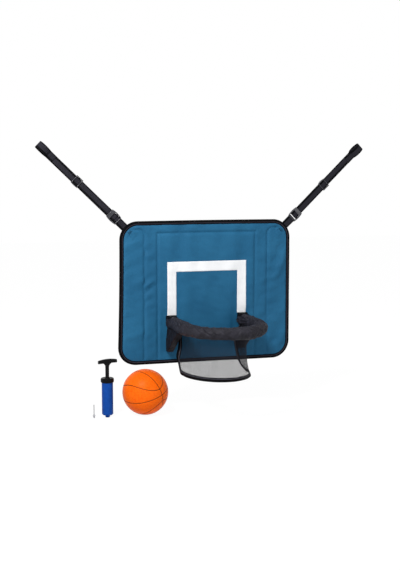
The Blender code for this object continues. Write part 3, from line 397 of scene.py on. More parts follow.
tube_steel = brushed("tube_steel", TUBE_GREY, 0.28)
foam_white = foamed("foam_white", FOAM_WHITE)
foam_grey = foamed("foam_grey", FOAM_GREY)
thread_blue = moulded("thread_blue", THREAD_BLUE, 0.7, 0.1)
thread_black = moulded("thread_black", THREAD_BLACK, 0.7, 0.1)
thread_deep = moulded("thread_deep", THREAD_DEEP, 0.7, 0.1)


# Fields of numbers

def stack(*parts):
    """Numbers side by side as the last axis of an array; a single one is repeated."""
    return np.stack(np.broadcast_arrays(*parts), -1)


def circle(angle):
    return stack(np.cos(angle), np.sin(angle))


def ring_section(radius, step=45):
    """A round section's points, a step in degrees apart."""
    return circle(np.radians(np.arange(0, 360, step))) * radius


def hump(value, place, width):
    """1 at a place, falling to 0 on both sides of it."""
    return np.exp(-((value - place) / width) ** 2)


def waves(points, length, seed, count=10):
    """A smooth random field between about -1 and 1, with features of about a length."""
    dice = np.random.default_rng(seed)
    total = np.zeros(points.shape[:-1])
    for _ in range(count):
        way = dice.normal(size=points.shape[-1])
        way /= np.linalg.norm(way)
        size = length * dice.uniform(0.7, 1.5)
        total += np.sin(points @ way * 2 * pi / size + dice.uniform(0, 2 * pi))
    return total / sqrt(count) / 1.1


def creases(points, length, seed, sharp=0.25):
    """1 along winding crease lines, falling to 0 beside them."""
    return hump(waves(points, length, seed), 0, sharp)


def smooth(value, low, high):
    share = np.clip((value - low) / (high - low), 0, 1)
    return share * share * (3 - 2 * share)


# Mesh building

def run(points, closed=False):
    """Distance along a line of points, from 0."""
    if closed:
        points = np.concatenate([points, points[:1]])
    steps = np.linalg.norm(np.diff(points, axis=0), axis=-1)
    return np.concatenate([[0.0], np.cumsum(steps)])


def between(where, far, points):
    """Points at distances along a line whose own points lie at other distances."""
    return stack(*(np.interp(where, far, points[:, k]) for k in range(points.shape[1])))


def spaced(points, step, closed=False):
    """The same line with points an even step apart."""
    points = np.asarray(points, float)
    far = run(points, closed)
    if closed:
        points = np.concatenate([points, points[:1]])
    count = max(int(round(far[-1] / step)), 3)
    line = between(np.linspace(0, far[-1], count + 1), far, points)
    return line[:-1] if closed else line


def eased(points, passes=3):
    """A smoother line: each corner is cut, and the ends stay."""
    points = np.asarray(points, float)
    for _ in range(passes):
        near = points[:-1] * 0.75 + points[1:] * 0.25
        far = points[:-1] * 0.25 + points[1:] * 0.75
        middle = np.stack([near, far], 1).reshape(-1, points.shape[1])
        points = np.concatenate([points[:1], middle, points[-1:]])
    return points


def sweep(path, axis, section, closed=False):
    """Points of a section carried along a path: rows along the path, columns round the section.

    The section's first number runs to the path's side and its second along the axis.
    """
    axis = np.broadcast_to(np.asarray(axis, float), path.shape)
    ahead = np.roll(path, -1, 0) - np.roll(path, 1, 0)
    if not closed:
        ahead[0] = path[1] - path[0]
        ahead[-1] = path[-1] - path[-2]
    side = np.cross(ahead, axis)
    side /= np.linalg.norm(side, axis=-1, keepdims=True)
    return path[:, None] + section[:, :1] * side[:, None] + section[:, 1:] * axis[:, None]


def link(name, mesh):
    made = bpy.data.objects.new(name, mesh)
    bpy.context.scene.collection.objects.link(made)
    return made


def build(name, verts, faces, finish, corners=(), facing=None):
    """A smooth mesh that faces outwards, or one way where that is given."""
    mesh = bpy.data.meshes.new(name)
    mesh.from_pydata(np.asarray(verts, float).tolist(), [], faces)
    if corners:
        layer = mesh.uv_layers.new(name="UVMap")
        layer.data.foreach_set("uv", np.array(corners, np.float32).ravel())
    shape = bmesh.new()
    shape.from_mesh(mesh)
    loose = [vert for vert in shape.verts if not vert.link_faces]
    bmesh.ops.delete(shape, geom=loose, context="VERTS")
    if facing is None:
        bmesh.ops.recalc_face_normals(shape, faces=shape.faces)
    else:
        toward = sum((face.normal * face.calc_area() for face in shape.faces), Vector())
        if toward.dot(Vector(facing)) < 0:
            bmesh.ops.reverse_faces(shape, faces=shape.faces)
    shape.to_mesh(mesh)
    shape.free()
    mesh.shade_smooth()
    mesh.materials.append(finish)
    return link(name, mesh)


def skin(name, points, finish, tube=False, ring=False, keep=None, facing=None, caps=False):
    """A mesh over rows and columns of points, with UV coordinates in metres."""
    rows, columns = points.shape[:2]
    along = run(points[:, columns // 2], ring)
    across = run(points[rows // 2], tube)
    faces = []
    corners = []
    for r in range(rows if ring else rows - 1):
        for c in range(columns if tube else columns - 1):
            q = (r + 1) % rows
            d = (c + 1) % columns
            if keep is not None and not (keep[r, c] and keep[q, c] and keep[q, d] and keep[r, d]):
                continue
            faces.append((r * columns + c, q * columns + c, q * columns + d, r * columns + d))
            corners += [(along[r], across[c]), (along[r + 1], across[c]),
                        (along[r + 1], across[c + 1]), (along[r], across[c + 1])]
    for r in (0, rows - 1) if caps else ():
        faces.append(tuple(r * columns + c for c in range(columns)))
        corners += [(along[r], across[c]) for c in range(columns)]
    return build(name, points.reshape(-1, 3), faces, finish, corners, facing)


def bar(name, path, axis, section, finish):
    """A closed bar of one section along a path."""
    return skin(name, sweep(path, axis, section), finish, tube=True, caps=True)


def bake(piece):
    """Fix a piece's modifiers into its mesh."""
    graph = bpy.context.evaluated_depsgraph_get()
    mesh = bpy.data.meshes.new_from_object(piece.evaluated_get(graph))
    piece.modifiers.clear()
    piece.data = mesh
    return piece


def thicken(piece, thickness):
    """Give an open sheet a thickness behind its faces."""
    shell = piece.modifiers.new("thickness", "SOLIDIFY")
    shell.thickness = thickness
    shell.offset = -1
    return piece


def add(piece, body, slot, *nodes):
    """Let a piece ride on a body and stand for CAD nodes, which it hides; the slot is not used."""
    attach(piece, body)
    if nodes:
        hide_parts(*nodes)
    return piece


def turned(name, profile, finish, centre, steps=64):
    """A turned piece; its (radius, height) profile runs from the axis, or is closed."""
    profile = np.asarray(profile, float)
    ring = centre + profile[:, None, :1] * circle(np.arange(steps) * 2 * pi / steps)
    points = stack(ring[..., 0], ring[..., 1], profile[:, 1:])
    piece = skin(name, points, finish, tube=True)
    piece.data.set_sharp_from_angle(angle=radians(35))
    return piece


def worn(piece, voxel, passes, share=1.0):
    """The same piece with its edges worn round."""
    remesh = piece.modifiers.new("remesh", "REMESH")
    remesh.mode = "VOXEL"
    remesh.voxel_size = voxel
    remesh.use_smooth_shade = True
    piece.modifiers.new("ease", "SMOOTH").iterations = passes
    if share < 1:
        piece.modifiers.new("fewer", "DECIMATE").ratio = share
    return bake(piece)


def softened(name, node, voxel, passes, finish, share=1.0):
    """A CAD solid's shape with its edges worn round."""
    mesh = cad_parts[node].data.copy()
    mesh.materials.clear()
    mesh.materials.append(finish)
    return worn(link(name, mesh), voxel, passes, share)


def stitch(name, runs, pitch, radius, finish):
    """Rows of single stitches: each run is a line of points and the way that its cloth faces."""
    verts = []
    faces = []
    for points, facing in runs:
        facing = np.broadcast_to(np.asarray(facing, float), points.shape)
        far = run(points)
        count = max(int(far[-1] / pitch), 1)
        for start in (np.arange(count) + 0.15) * far[-1] / count:
            a = between(start, far, points)
            b = between(start + 0.7 * far[-1] / count, far, points)
            out = between(start, far, facing) * radius
            side = np.cross(b - a, out)
            side = side / np.linalg.norm(side) * radius
            middle = (a + b) / 2
            base = len(verts)
            verts += [a - out, b - out, middle + side, middle + out, middle - side, middle - out]
            for k in range(4):
                here, there = base + 2 + k, base + 2 + (k + 1) % 4
                faces += [(base, here, there), (base + 1, there, here)]
    return build(name, verts, faces, finish)


# Board

RELIEF_SWELL = 0.0021           # how far the pockets stand out between seams
RELIEF_SWELL_REACH = 0.0050
RELIEF_SEAM = 0.0015            # how deep a seam draws the cloth in
RELIEF_SEAM_REACH = 0.0026
RELIEF_FOLD = 0.0027            # how far a slack fold stands out
RELIEF_SMALL = 0.0003
RELIEF_CREASE = 0.0007
RELIEF_ANCHOR = 0.0013          # the corner's webbing under the cloth
RELIEF_LEAST = -0.0004          # the pads carry the cloth between seams
BOARD_STEP = 0.0024             # between points of the cloth
CLOTH = 0.0006
STITCH_LIFT = 0.0001            # a seam's thread above the cloth
TACK_LIFT = 0.0003
ANCHOR_ROWS = (0.014, 0.026)    # stitched rows across the corner's webbing, from its edge
ANCHOR_END = 0.040
ANCHOR_SEAM = 0.0085            # from the webbing's middle to the stitching along it
TACK_ROWS = (0.0180, 0.0268, 0.0007)
TACK_HALF = 0.0066
BINDING_HALF = 0.0050           # half the folded tape's thickness
BINDING_SEAM = 0.0041           # its stitching, from the board's middle plane
TURN_RADIUS = 0.020             # the outer seams turn out to the corners at their tops
TURN_START = HALF_HEIGHT - 0.046
TURN_REACH = 0.042


def fold_field(x, v, degrees, across, along, seed):
    """Long soft folds that run at an angle above the level."""
    angle = radians(degrees)
    turned_x = x * cos(angle) + v * sin(angle)
    turned_v = -x * sin(angle) + v * cos(angle)
    return waves(stack(turned_x / along, turned_v / across), 1.0, seed, 8)


def seam_distance(x, v):
    """Distance from the nearest sewn line of the board."""
    out = np.abs(x)
    over = v - (HALF_HEIGHT - TOP_SEAM_DROP)
    inner = np.hypot(out - POCKET_INNER, np.maximum(over, 0))
    level = np.hypot(np.maximum(out - POCKET_INNER, 0), over)
    past = v - TURN_START
    beside = out - POCKET_OUTER - TURN_RADIUS
    bend = np.abs(np.hypot(beside, past) - TURN_RADIUS)
    bend = np.where((beside < 0) & (past > 0), bend, 1.0)
    upright = np.where(past > 0, 1.0, np.abs(out - POCKET_OUTER))
    last = np.hypot(np.maximum(out - POCKET_OUTER - TURN_REACH, 0), past - TURN_RADIUS)
    last = np.where(beside > 0, last, 1.0)
    return np.minimum.reduce([inner, level, bend, upright, last])


def edge_distance(x, v):
    """Distance inwards from the board's rounded edge."""
    dx = np.abs(x) - (HALF_WIDTH - BOARD_CORNER)
    dv = np.abs(v) - (HALF_HEIGHT - BOARD_CORNER)
    outside = np.hypot(np.maximum(dx, 0), np.maximum(dv, 0))
    return BOARD_CORNER - outside - np.minimum(np.maximum(dx, dv), 0)


def anchor_place(x, v):
    """Place in the sewn anchor under a top corner: inwards from the edge, and across."""
    ax = np.abs(x) - CORNER_X
    az = v + BOARD_MIDDLE - CORNER_Z
    inwards = -(ax * cos(STRAP_ANGLE) + az * sin(STRAP_ANGLE))
    return inwards, -ax * sin(STRAP_ANGLE) + az * cos(STRAP_ANGLE)


def relief(x, v, seed=3):
    """How far the cloth stands out of its panel's plane."""
    place = stack(x, v)
    gap = seam_distance(x, v)
    swell = RELIEF_SWELL * (1 - hump(gap, 0, RELIEF_SWELL_REACH))
    seam = RELIEF_SEAM * hump(gap, 0, RELIEF_SEAM_REACH)
    outer = smooth(np.abs(x), POCKET_INNER - 0.01, POCKET_OUTER)
    left = fold_field(x, v, 20, 0.040, 0.13, seed)
    strip = fold_field(x, v, 38, 0.026, 0.09, seed + 5)
    left = np.where(-x < POCKET_OUTER, strip, left)
    right = fold_field(x, v, 57, 0.034, 0.15, seed + 1)
    right = right + 0.6 * fold_field(x, v, 12, 0.030, 0.08, seed + 6)
    lean = np.where(x < 0, left, right)
    patch = smooth(waves(place, 0.11, seed + 7), -0.9, 0.8)
    lean = np.sign(lean) * np.abs(lean) ** 1.3 * (0.35 + 0.65 * patch)
    upright = fold_field(x, v, 88, 0.055, 0.50, seed + 2)
    depth = np.where(x < 0, 0.60, 0.74)
    folds = RELIEF_FOLD * (outer * lean * depth + (1 - outer) * upright * 0.40)
    drawn = creases(place, 0.055, seed + 8, 0.10) * outer
    small = RELIEF_SMALL * waves(place, 0.03, seed + 3)
    small = small - RELIEF_CREASE * drawn * smooth(edge_distance(x, v), 0.07, 0.02)
    inwards, across = anchor_place(x, v)
    under = smooth(ANCHOR_DEPTH - inwards, -0.001, 0.0025)
    under = under * smooth(WEBBING_WIDTH / 2 - np.abs(across), -0.001, 0.0025)
    total = np.maximum(swell + folds + small + RELIEF_ANCHOR * under, RELIEF_LEAST) - seam
    # The rim's ends and gussets lie against flat cloth
    rim_top = RIM_MIDDLE - BOARD_MIDDLE + RIM_RADIUS
    wedge_foot = WEDGE_LOW.z - BOARD_MIDDLE
    near_rim = smooth(0.045 - np.abs(np.abs(x) - RIM_HALF_WIDTH), 0, 0.02)
    near_rim = near_rim * smooth(v, wedge_foot - 0.03, wedge_foot)
    near_rim = near_rim * smooth(-v, -rim_top - 0.03, -rim_top)
    total = total * (1 - near_rim) + near_rim * np.minimum(total, 0.0002)
    return total * smooth(edge_distance(x, v), 0.008, 0.022)


def eased_shape(x, v):
    """The sewn board isn't quite square: its edges bow and its lower left corner spreads."""
    left = smooth(-x, POCKET_INNER, HALF_WIDTH) * (0.0030 - 0.020 * v + 0.045 * v * v)
    up = smooth(v, 0.12, HALF_HEIGHT) * (0.0016 + 0.0006 * np.cos(x * 9))
    down = smooth(-v, 0.12, HALF_HEIGHT) * (0.0018 + 0.0016 * smooth(x, -0.05, 0.20))
    return x - left, v + up - down


def board_point(x, v, out=0.0, back=False):
    """A place on the board's cloth, and how far out of it."""
    x, v = np.broadcast_arrays(np.asarray(x, float), np.asarray(v, float))
    if back:
        y = BACK_FACE + relief(x, v, 40) * 0.8 + out
    else:
        y = FRONT_FACE - relief(x, v) - out
    x, v = eased_shape(x, v)
    return stack(x, y, BOARD_MIDDLE + v)


def make_panel(name, back, node):
    columns = np.linspace(-HALF_WIDTH, HALF_WIDTH, int(2 * HALF_WIDTH / BOARD_STEP) + 1)
    rows = np.linspace(-HALF_HEIGHT, HALF_HEIGHT, int(2 * HALF_HEIGHT / BOARD_STEP) + 1)
    x, v = np.meshgrid(columns, rows)
    keep = edge_distance(x, v) > 0.0025
    panel = skin(name, board_point(x, v, back=back), board_cloth, keep=keep,
                 facing=(0, 1 if back else -1, 0))
    return add(thicken(panel, CLOTH), "board", "board_fabric", node)


def rounded_outline(half_width, half_height, radius):
    """The board's edge, seen from the front, running left along its top."""
    points = []
    for across, up, start in ((1, 1, 0), (-1, 1, 90), (-1, -1, 180), (1, -1, 270)):
        middle = (across * (half_width - radius), up * (half_height - radius))
        points.append(middle + radius * circle(np.radians(start + 90 * np.arange(25) / 24)))
    return np.concatenate(points)


def tape_section(width, half_thickness, groove_depth):
    """A folded tape's section: round at its edge, with a stitched groove near its inner side."""
    share = np.linspace(0, 1, 15)
    rise = np.minimum(1.0, (1 - (1 - np.minimum(share / 0.42, 1)) ** 2.4) ** 0.5)
    rise = rise * (1 - 0.10 * smooth(share, 0.45, 0.95))
    height = half_thickness * rise - groove_depth * hump(share, 0.80, 0.07)
    front = stack(share * width, -height)
    back = stack(share * width, height)
    return np.concatenate([front[::-1], back[1:]])


def make_binding():
    outline = spaced(rounded_outline(HALF_WIDTH, HALF_HEIGHT, BOARD_CORNER), 0.004, True)
    x, v = eased_shape(outline[:, 0], outline[:, 1])
    path = stack(x, 0.0, BOARD_MIDDLE + v)
    section = tape_section(BINDING_WIDTH, BINDING_HALF, 0.0007)
    # The binding's grey band, off its middle, is a painted highlight on the lit facet of its fold
    edge_cloth = ribbed("edge_cloth", BINDING_HIGHLIGHT, TAPE_BLACK, BINDING_WIDTH, 0.0013, 0.6, 0.13, 0.35,
                        run(section)[-1] / 2)
    points = sweep(path, (0, 1, 0), section, closed=True)
    far = run(path, True)[:-1]
    pucker = 0.00018 * np.sin(far * 2 * pi / 0.012) + 0.0003 * waves(path, 0.05, 61)
    points[..., 1] += np.sign(points[..., 1]) * pucker[:, None]
    ring = thicken(skin("board_binding", points, edge_cloth, ring=True), 0.0009)
    add(ring, "board", "binding_tape", "edge_binding")
    inset = BINDING_WIDTH * 0.80
    line = spaced(rounded_outline(HALF_WIDTH - inset, HALF_HEIGHT - inset, BOARD_CORNER - inset),
                  0.003, True)
    line = np.concatenate([line, line[:1]])
    x, v = eased_shape(line[:, 0], line[:, 1])
    runs = [(stack(x, way * BINDING_SEAM, BOARD_MIDDLE + v), (0, way, 0)) for way in (-1, 1)]
    thread = stitch("binding_stitching", runs, 0.0040, 0.00035, thread_black)
    add(thread, "board", "binding_tape")


def make_target():
    """The printed target, on the same relief as the cloth."""
    outer = PRINT_HIGH.x
    inner = outer - TARGET_BAND
    top = PRINT_HIGH.z - BOARD_MIDDLE
    bottom = PRINT_LOW.z - BOARD_MIDDLE
    level = top - TARGET_TOP_BAND
    columns = np.concatenate([np.linspace(-outer, -inner, 13), np.linspace(-inner, inner, 81)[1:-1],
                              np.linspace(inner, outer, 13)])
    rows = np.concatenate([np.linspace(bottom, level, 60), np.linspace(level, top, 14)[1:]])
    x, v = np.meshgrid(columns, rows)
    tiny = 1e-6
    inside = (np.abs(x) < inner - tiny) & (v < level - tiny)
    target = skin("board_target", board_point(x, v, 0.0003), target_ink, keep=~inside,
                  facing=(0, -1, 0))
    add(thicken(target, 0.0002), "board", "target_ink", "target_print")


def make_board():
    panels = [make_panel("board_front", False, "front_panel"),
              make_panel("board_back", True, "back_panel")]
    for node in ("centre_pad", "left_side_pad", "right_side_pad"):
        pad = softened(node + "_foam", node, 0.0016, 2, foam_white, 0.2)
        add(pad, "board", "board_foam", node)
    runs = [(board_point(x, v, lift, back), (0, 1 if back else -1, 0))
            for back in (False, True) for x, v, lift in seam_lines()]
    seams = stitch("board_stitching", runs, 0.0034, 0.00033, thread_blue)
    add(seams, "board", "board_fabric")
    cross = np.linspace(-TACK_HALF, TACK_HALF, 10)
    runs = [(board_point(*anchor_to_board(side, row, cross), TACK_LIFT), (0, -1, 0))
            for _, side in SIDES for row in np.arange(*TACK_ROWS)]
    tacks = stitch("corner_bar_tacks", runs, 0.0032, 0.0006, thread_deep)
    add(tacks, "board", "binding_tape")


def seam_lines():
    """Each sewn line on one face of the board: its X, its height and its thread's lift."""
    level = HALF_HEIGHT - TOP_SEAM_DROP
    bottom = -HALF_HEIGHT + BINDING_WIDTH
    inner = stack(POCKET_INNER, np.linspace(bottom, level, 150))
    rise = stack(POCKET_OUTER, np.linspace(bottom, TURN_START, 150))
    bend = (POCKET_OUTER + TURN_RADIUS, TURN_START) + TURN_RADIUS * circle(
        np.linspace(pi, pi / 2, 16))
    reach = np.linspace(POCKET_OUTER + TURN_RADIUS, POCKET_OUTER + TURN_REACH, 10)[1:]
    outer = np.concatenate([rise, bend[1:], stack(reach, TURN_START + TURN_RADIUS)])
    lines = [(side * line[:, 0], line[:, 1], STITCH_LIFT) for _, side in SIDES
             for line in (inner, outer)]
    lines.append((np.linspace(-POCKET_INNER, POCKET_INNER, 120), level, STITCH_LIFT))
    across = np.linspace(-ANCHOR_SEAM, ANCHOR_SEAM, 12)
    deep = np.linspace(ANCHOR_ROWS[0], ANCHOR_END, 24)
    for _, side in SIDES:
        places = [(row, across) for row in ANCHOR_ROWS]
        places += [(deep, -ANCHOR_SEAM), (deep, ANCHOR_SEAM)]
        lines += [(*anchor_to_board(side, *place), TACK_LIFT) for place in places]
    return lines


def anchor_to_board(side, inwards, across):
    """From a place in a top corner's anchor to the board's own X and height."""
    ax = -inwards * cos(STRAP_ANGLE) - across * sin(STRAP_ANGLE)
    az = -inwards * sin(STRAP_ANGLE) + across * cos(STRAP_ANGLE)
    return side * (CORNER_X + ax), CORNER_Z - BOARD_MIDDLE + az


# Straps

def strap_axes(side):
    along = np.array([side * cos(STRAP_ANGLE), 0, sin(STRAP_ANGLE)])
    return along, np.array([-side * sin(STRAP_ANGLE), 0, cos(STRAP_ANGLE)])


def on_strap(side, points):
    """From places along and through a strap to the frame."""
    points = np.asarray(points, float)
    start = np.array([side * CORNER_X, 0, CORNER_Z])
    return start + points[:, :1] * strap_axes(side)[0] + points[:, 1:] * np.array([0, 1, 0])


def web_section():
    """Flat webbing with soft edges: through it first, then across it."""
    half = WEBBING_WIDTH / 2
    deep = WEBBING / 2
    shape = [(-deep, -half + deep), (-deep * 0.6, -half + deep * 0.3), (0, -half),
             (deep * 0.6, -half + deep * 0.3), (deep, -half + deep)]
    shape += [(deep, y) for y in np.linspace(-half, half, 9)[1:-1]]
    return np.array(shape + [(-through, -across) for through, across in shape])


def lock_places():
    """Where the ladder lock's lower and middle bars lie, and a turn of webbing round one."""
    lower = LOCK_REACH - LOCK_LENGTH / 2 + LOCK_BAR_RADIUS + 0.0004
    grip_start = LOCK_REACH + LOCK_LENGTH / 2 - LOCK_GRIP
    return lower, (lower + grip_start) / 2, LOCK_BAR_RADIUS + 0.0003 + WEBBING / 2


def half_turn(centre, radius, start, stop, slack=0.0, steps=14):
    """A turn of webbing round a bar, slack by a length on its far side."""
    angles = np.radians(np.linspace(start, stop, steps))
    return [(centre[0] + (radius + slack) * cos(a), centre[1] + radius * sin(a)) for a in angles]


def make_strap(word, side):
    _, middle, wrap = lock_places()
    _, across = strap_axes(side)
    depth = LAYER - wrap
    half = EYE_LENGTH / 2 + WEBBING / 2
    rise = EYE_HEIGHT / 2 + WEBBING / 2
    root = STRAP_REACH - EYE_LENGTH / 2
    overlap = LAYER - WEBBING - 0.0001
    eye = [(root - LOOP_SEAM, overlap), (root - 0.006, overlap), (root - 0.001, -0.002)]
    for angle in np.radians(np.arange(205, 516, 10)):
        eye.append((STRAP_REACH + half * cos(angle), rise * sin(angle)))
    eye += [(root - 0.001, 0.0025), (root - 0.006, LAYER)]
    run_down = [(middle + 0.006, LAYER)]
    turn = half_turn((middle, depth), wrap, 90, 270, 0.0017)
    tail_start = middle + 2 * wrap + LOCK_BAR_RADIUS
    tail = [(middle + wrap / 2, depth - wrap + WEBBING / 4), (tail_start, -LAYER),
            (KEEPER_REACH[word] + TAIL_PAST_KEEPER, -LAYER)]
    path = on_strap(side, spaced(np.concatenate([eased(eye, 2), run_down, turn, tail]), 0.002))
    points = sweep(path, across, web_section())
    points[..., 1] += 0.00025 * waves(path, 0.06, 71)[:, None]
    strip = skin(word + "_strap", points, web_cloth, tube=True, caps=True)
    add(strip, "straps", "webbing", word + "_webbing")
    # Box stitching on the sewn loop
    half_box = WEBBING_WIDTH / 2 - 0.003
    first, last = root - LOOP_SEAM + 0.003, root - 0.004
    corners = [(first, -half_box), (last, -half_box), (last, half_box), (first, half_box)]
    pairs = [(0, 1), (1, 2), (2, 3), (3, 0), (0, 2), (1, 3)]
    runs = []
    for face, way in ((overlap - WEBBING / 2, -1), (LAYER + WEBBING / 2, 1)):
        for a, b in pairs:
            flat = np.linspace(corners[a], corners[b], 20)
            line = on_strap(side, stack(flat[:, 0], face))
            runs.append((line + flat[:, 1:] * across, (0, way, 0)))
    box = stitch(word + "_loop_stitching", runs, 0.0030, 0.0003, thread_black)
    add(box, "straps", "webbing")


def make_tab(word, side):
    """The corner's webbing: round the buckle's bar, then in between the panels."""
    lower, _, wrap = lock_places()
    sewn = WEBBING / 2 + 0.00005
    loop = [(-ANCHOR_DEPTH, -sewn), (0.0055, -sewn), (0.012, -sewn * 1.6)]
    loop += half_turn((lower, LAYER - wrap), wrap, -80, 80, TAB_SLACK[word])
    loop += [(0.012, sewn * 1.2), (0.0055, sewn), (-ANCHOR_DEPTH, sewn)]
    path = on_strap(side, spaced(loop, 0.0012))
    tab = bar(word + "_corner_tab", path, strap_axes(side)[1], web_section(), web_cloth)
    start, end = on_strap(side, [(0.012, 0.0), (-0.003, 0.0)])
    tuple(start)
    tuple(end)
    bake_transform(tab)
    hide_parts(word + "_tab_loop", word + "_tab_anchor")


def make_end_bar(word, side):
    """The buckle's end bar, which arches over the corner's webbing."""
    lower, _, wrap = lock_places()
    along, across = strap_axes(side)
    share = np.linspace(-1, 1, 41)
    arch = 1 - np.abs(share) ** 8
    line = stack(lower - 0.0022, -0.0016 - (2 * wrap - 0.0004) * arch)
    path = on_strap(side, line) + share[:, None] * (END_BAR_WIDTH / 2) * across
    end_bar = bar(word + "_buckle_end", path, along, ring_section(END_BAR_RADII, 30),
                  buckle_plastic)
    add(end_bar, "straps", "buckle_plastic")


def make_straps():
    for word, side in SIDES:
        make_strap(word, side)
        make_tab(word, side)
        make_end_bar(word, side)
        lock = softened(word + "_buckle", word + "_ladder_lock", 0.00055, 3, buckle_plastic, 0.5)
        add(lock, "straps", "buckle_plastic", word + "_ladder_lock")
        keeper = softened(word + "_strap_keeper", word + "_tri_glide", 0.0005, 3, buckle_plastic,
                          0.5)
        add(keeper, word + "_keeper", "buckle_plastic", word + "_tri_glide")


# Rim

SLEEVE_STEP = 0.0014
SLEEVE_RING = 96
PADDING_INSET = 0.0082          # the foam stays below the sleeve's grooves
# Tucks: each runs from one place on the sleeve to another, as metres along it and degrees round
# it from its outer side, and then how deep it is
TUCKS = (
    (0.068, 50, 0.127, 2, 0.0016), (0.082, 66, 0.170, 10, 0.0018), (0.121, 72, 0.197, 20, 0.0012),
    (0.185, 54, 0.219, 18, 0.0014), (0.228, 52, 0.252, 8, 0.0017), (0.256, 50, 0.283, -16, 0.0020),
    (0.289, 20, 0.300, -8, 0.0014), (0.358, 29, 0.353, -14, 0.0015), (0.305, 50, 0.319, 14, 0.0009),
    (0.336, 32, 0.346, -22, 0.0009), (0.693, 134, 0.634, 152, 0.0018),
    (0.673, 182, 0.620, 162, 0.0018), (0.690, 215, 0.617, 185, 0.0016),
    (0.645, 112, 0.593, 142, 0.0014), (0.583, 110, 0.508, 122, 0.0012),
    (0.420, 40, 0.450, 5, 0.0010), (0.480, 30, 0.500, -30, 0.0010), (0.040, 20, 0.095, -40, 0.0014),
    (0.030, 160, 0.090, 130, 0.0014), (0.110, 200, 0.170, 165, 0.0012),
    (0.560, 10, 0.600, -40, 0.0012))
TUCK_WIDTH = 0.0033
FOLD_SLOPE = 0.078              # room above the sleeve when the rim folds against the board


def u_path(half_width, start, leg, front, middle=0.0):
    """A U seen from above, measured from the rim's ends forwards."""
    angles = np.linspace(0, pi, 181)
    bend = stack(middle - half_width * np.cos(angles), -(leg + front * np.sin(angles)))
    first = [(middle - half_width, -start)]
    last = [(middle + half_width, -start)]
    return np.concatenate([first, bend, last])


def spiral(far, angle, twist, slow):
    """Places round a tube, twisted along it so that what is drawn there winds round it."""
    ring = circle(angle + twist * far) * RIM_RADIUS
    return np.concatenate([far[..., None] * slow, ring], -1)


def ridges(places, length, seed):
    """Sharp folds, from 0 between them to 1 along their crests."""
    return np.clip(1 - np.abs(waves(places, length, seed)) * 1.7, 0, 1) ** 1.4


def sleeve_relief(far, length, angle):
    """Folds of the rim's sleeve: pleats at its ends, creases at its bends."""
    ends = np.exp(-far / 0.045) + np.exp(-(length - far) / 0.045)
    share = far / length
    bend = hump(share, 0.66, 0.13) + 0.5 * hump(share, 0.34, 0.13)
    place = spiral(far, angle, 0, 1)
    pleats = np.cos(9 * angle + 3 * waves(place, 0.06, 81))
    lines = ridges(spiral(far, angle, 38, 0.5), 0.034, 82)
    cross = ridges(spiral(far, angle, -22, 0.8), 0.030, 83)
    fine = ridges(spiral(far, angle, 30, 1.3), 0.016, 85)
    right = np.exp(-(length - far) / 0.07)
    strength = 0.38 + 0.45 * np.clip(ends + bend, 0, 1) + 0.5 * right
    total = 0.0012 * np.clip(ends, 0, 1) * pleats
    total = total + strength * (0.0024 * lines + 0.0020 * cross + 0.0018 * fine)
    total = total + 0.0008 * waves(place, 0.05, 84) - 0.0020
    for place_and_depth in TUCKS:
        total = total + tuck(far, angle, *place_and_depth)
    # Foam shows less in the front, where the sleeve is drawn along the bend
    thin = hump(share, 0.38, 0.10)
    full = hump(share, 0.52, 0.06) + 2.6 * hump(share, 0.19, 0.08)
    outer_bend = hump(share, 0.67, 0.10) * smooth(np.cos(angle), -0.2, 1.0)
    total = total - 0.0018 * thin + 0.0010 * full - 0.0030 * outer_bend
    return total - 0.0006 * hump((angle - 5.2) * RIM_RADIUS, 0, 0.0011) + 0.0004


def tuck(far, angle, first_far, first_angle, last_far, last_angle, depth):
    """A short fold of the sleeve: a groove with a raised lip along one side."""
    first_angle, last_angle = radians(first_angle), radians(last_angle)
    along = last_far - first_far
    round_it = (last_angle - first_angle) * RIM_RADIUS
    length = sqrt(along ** 2 + round_it ** 2)
    away = far - (first_far + last_far) / 2
    turned_by = (angle - (first_angle + last_angle) / 2 + pi) % (2 * pi) - pi
    across = turned_by * RIM_RADIUS
    on_it = (away * along + across * round_it) / length
    off_it = (across * along - away * round_it) / length / TUCK_WIDTH
    fade = np.exp(-(on_it / (0.5 * length)) ** 4)
    return depth * fade * 2.5 * off_it * np.exp(-off_it ** 2)


def make_sleeve():
    path = spaced(u_path(RIM_HALF_WIDTH, 0.0, RIM_LEG, RIM_FRONT - RIM_LEG), SLEEVE_STEP)
    path = stack(path[:, 0], RIM_END + path[:, 1], RIM_MIDDLE)
    angle = np.arange(SLEEVE_RING) * 2 * pi / SLEEVE_RING
    points = sweep(path, (0, 0, 1), circle(angle) * RIM_RADIUS)
    far = run(path)
    grid_far, grid_angle = np.meshgrid(far, angle, indexing="ij")
    lift = sleeve_relief(grid_far, far[-1], grid_angle)
    near_end = np.minimum(grid_far, far[-1] - grid_far)
    room = np.maximum(FOLD_SLOPE * near_end - 0.0024, -0.0018)
    top = smooth(np.sin(grid_angle), 0.2, 0.8)
    lift = lift * (1 - top) + top * np.minimum(lift, room)
    ease = np.clip(near_end / 0.006, 0, 1)
    rolled = -0.0022 * (1 - ease) ** 2
    outward = points - path[:, None]
    outward /= np.linalg.norm(outward, axis=-1, keepdims=True)
    points = points + outward * (lift * smooth(ease, 0, 1) + rolled)[..., None]
    sleeve = thicken(skin("rim_sleeve", points, sleeve_cloth, tube=True), 0.0012)
    add(sleeve, "rim", "sleeve_fabric", "rim_cover")
    foam = bar("rim_padding", path[3:-3][::5], (0, 0, 1),
               circle(angle[::4]) * (RIM_RADIUS - PADDING_INSET), foam_grey)
    add(foam, "rim", "rim_foam", "rim_foam")


WEDGE_LEAN = {"left": 0.0045, "right": 0.009}       # how far a gusset's foot leans to the left


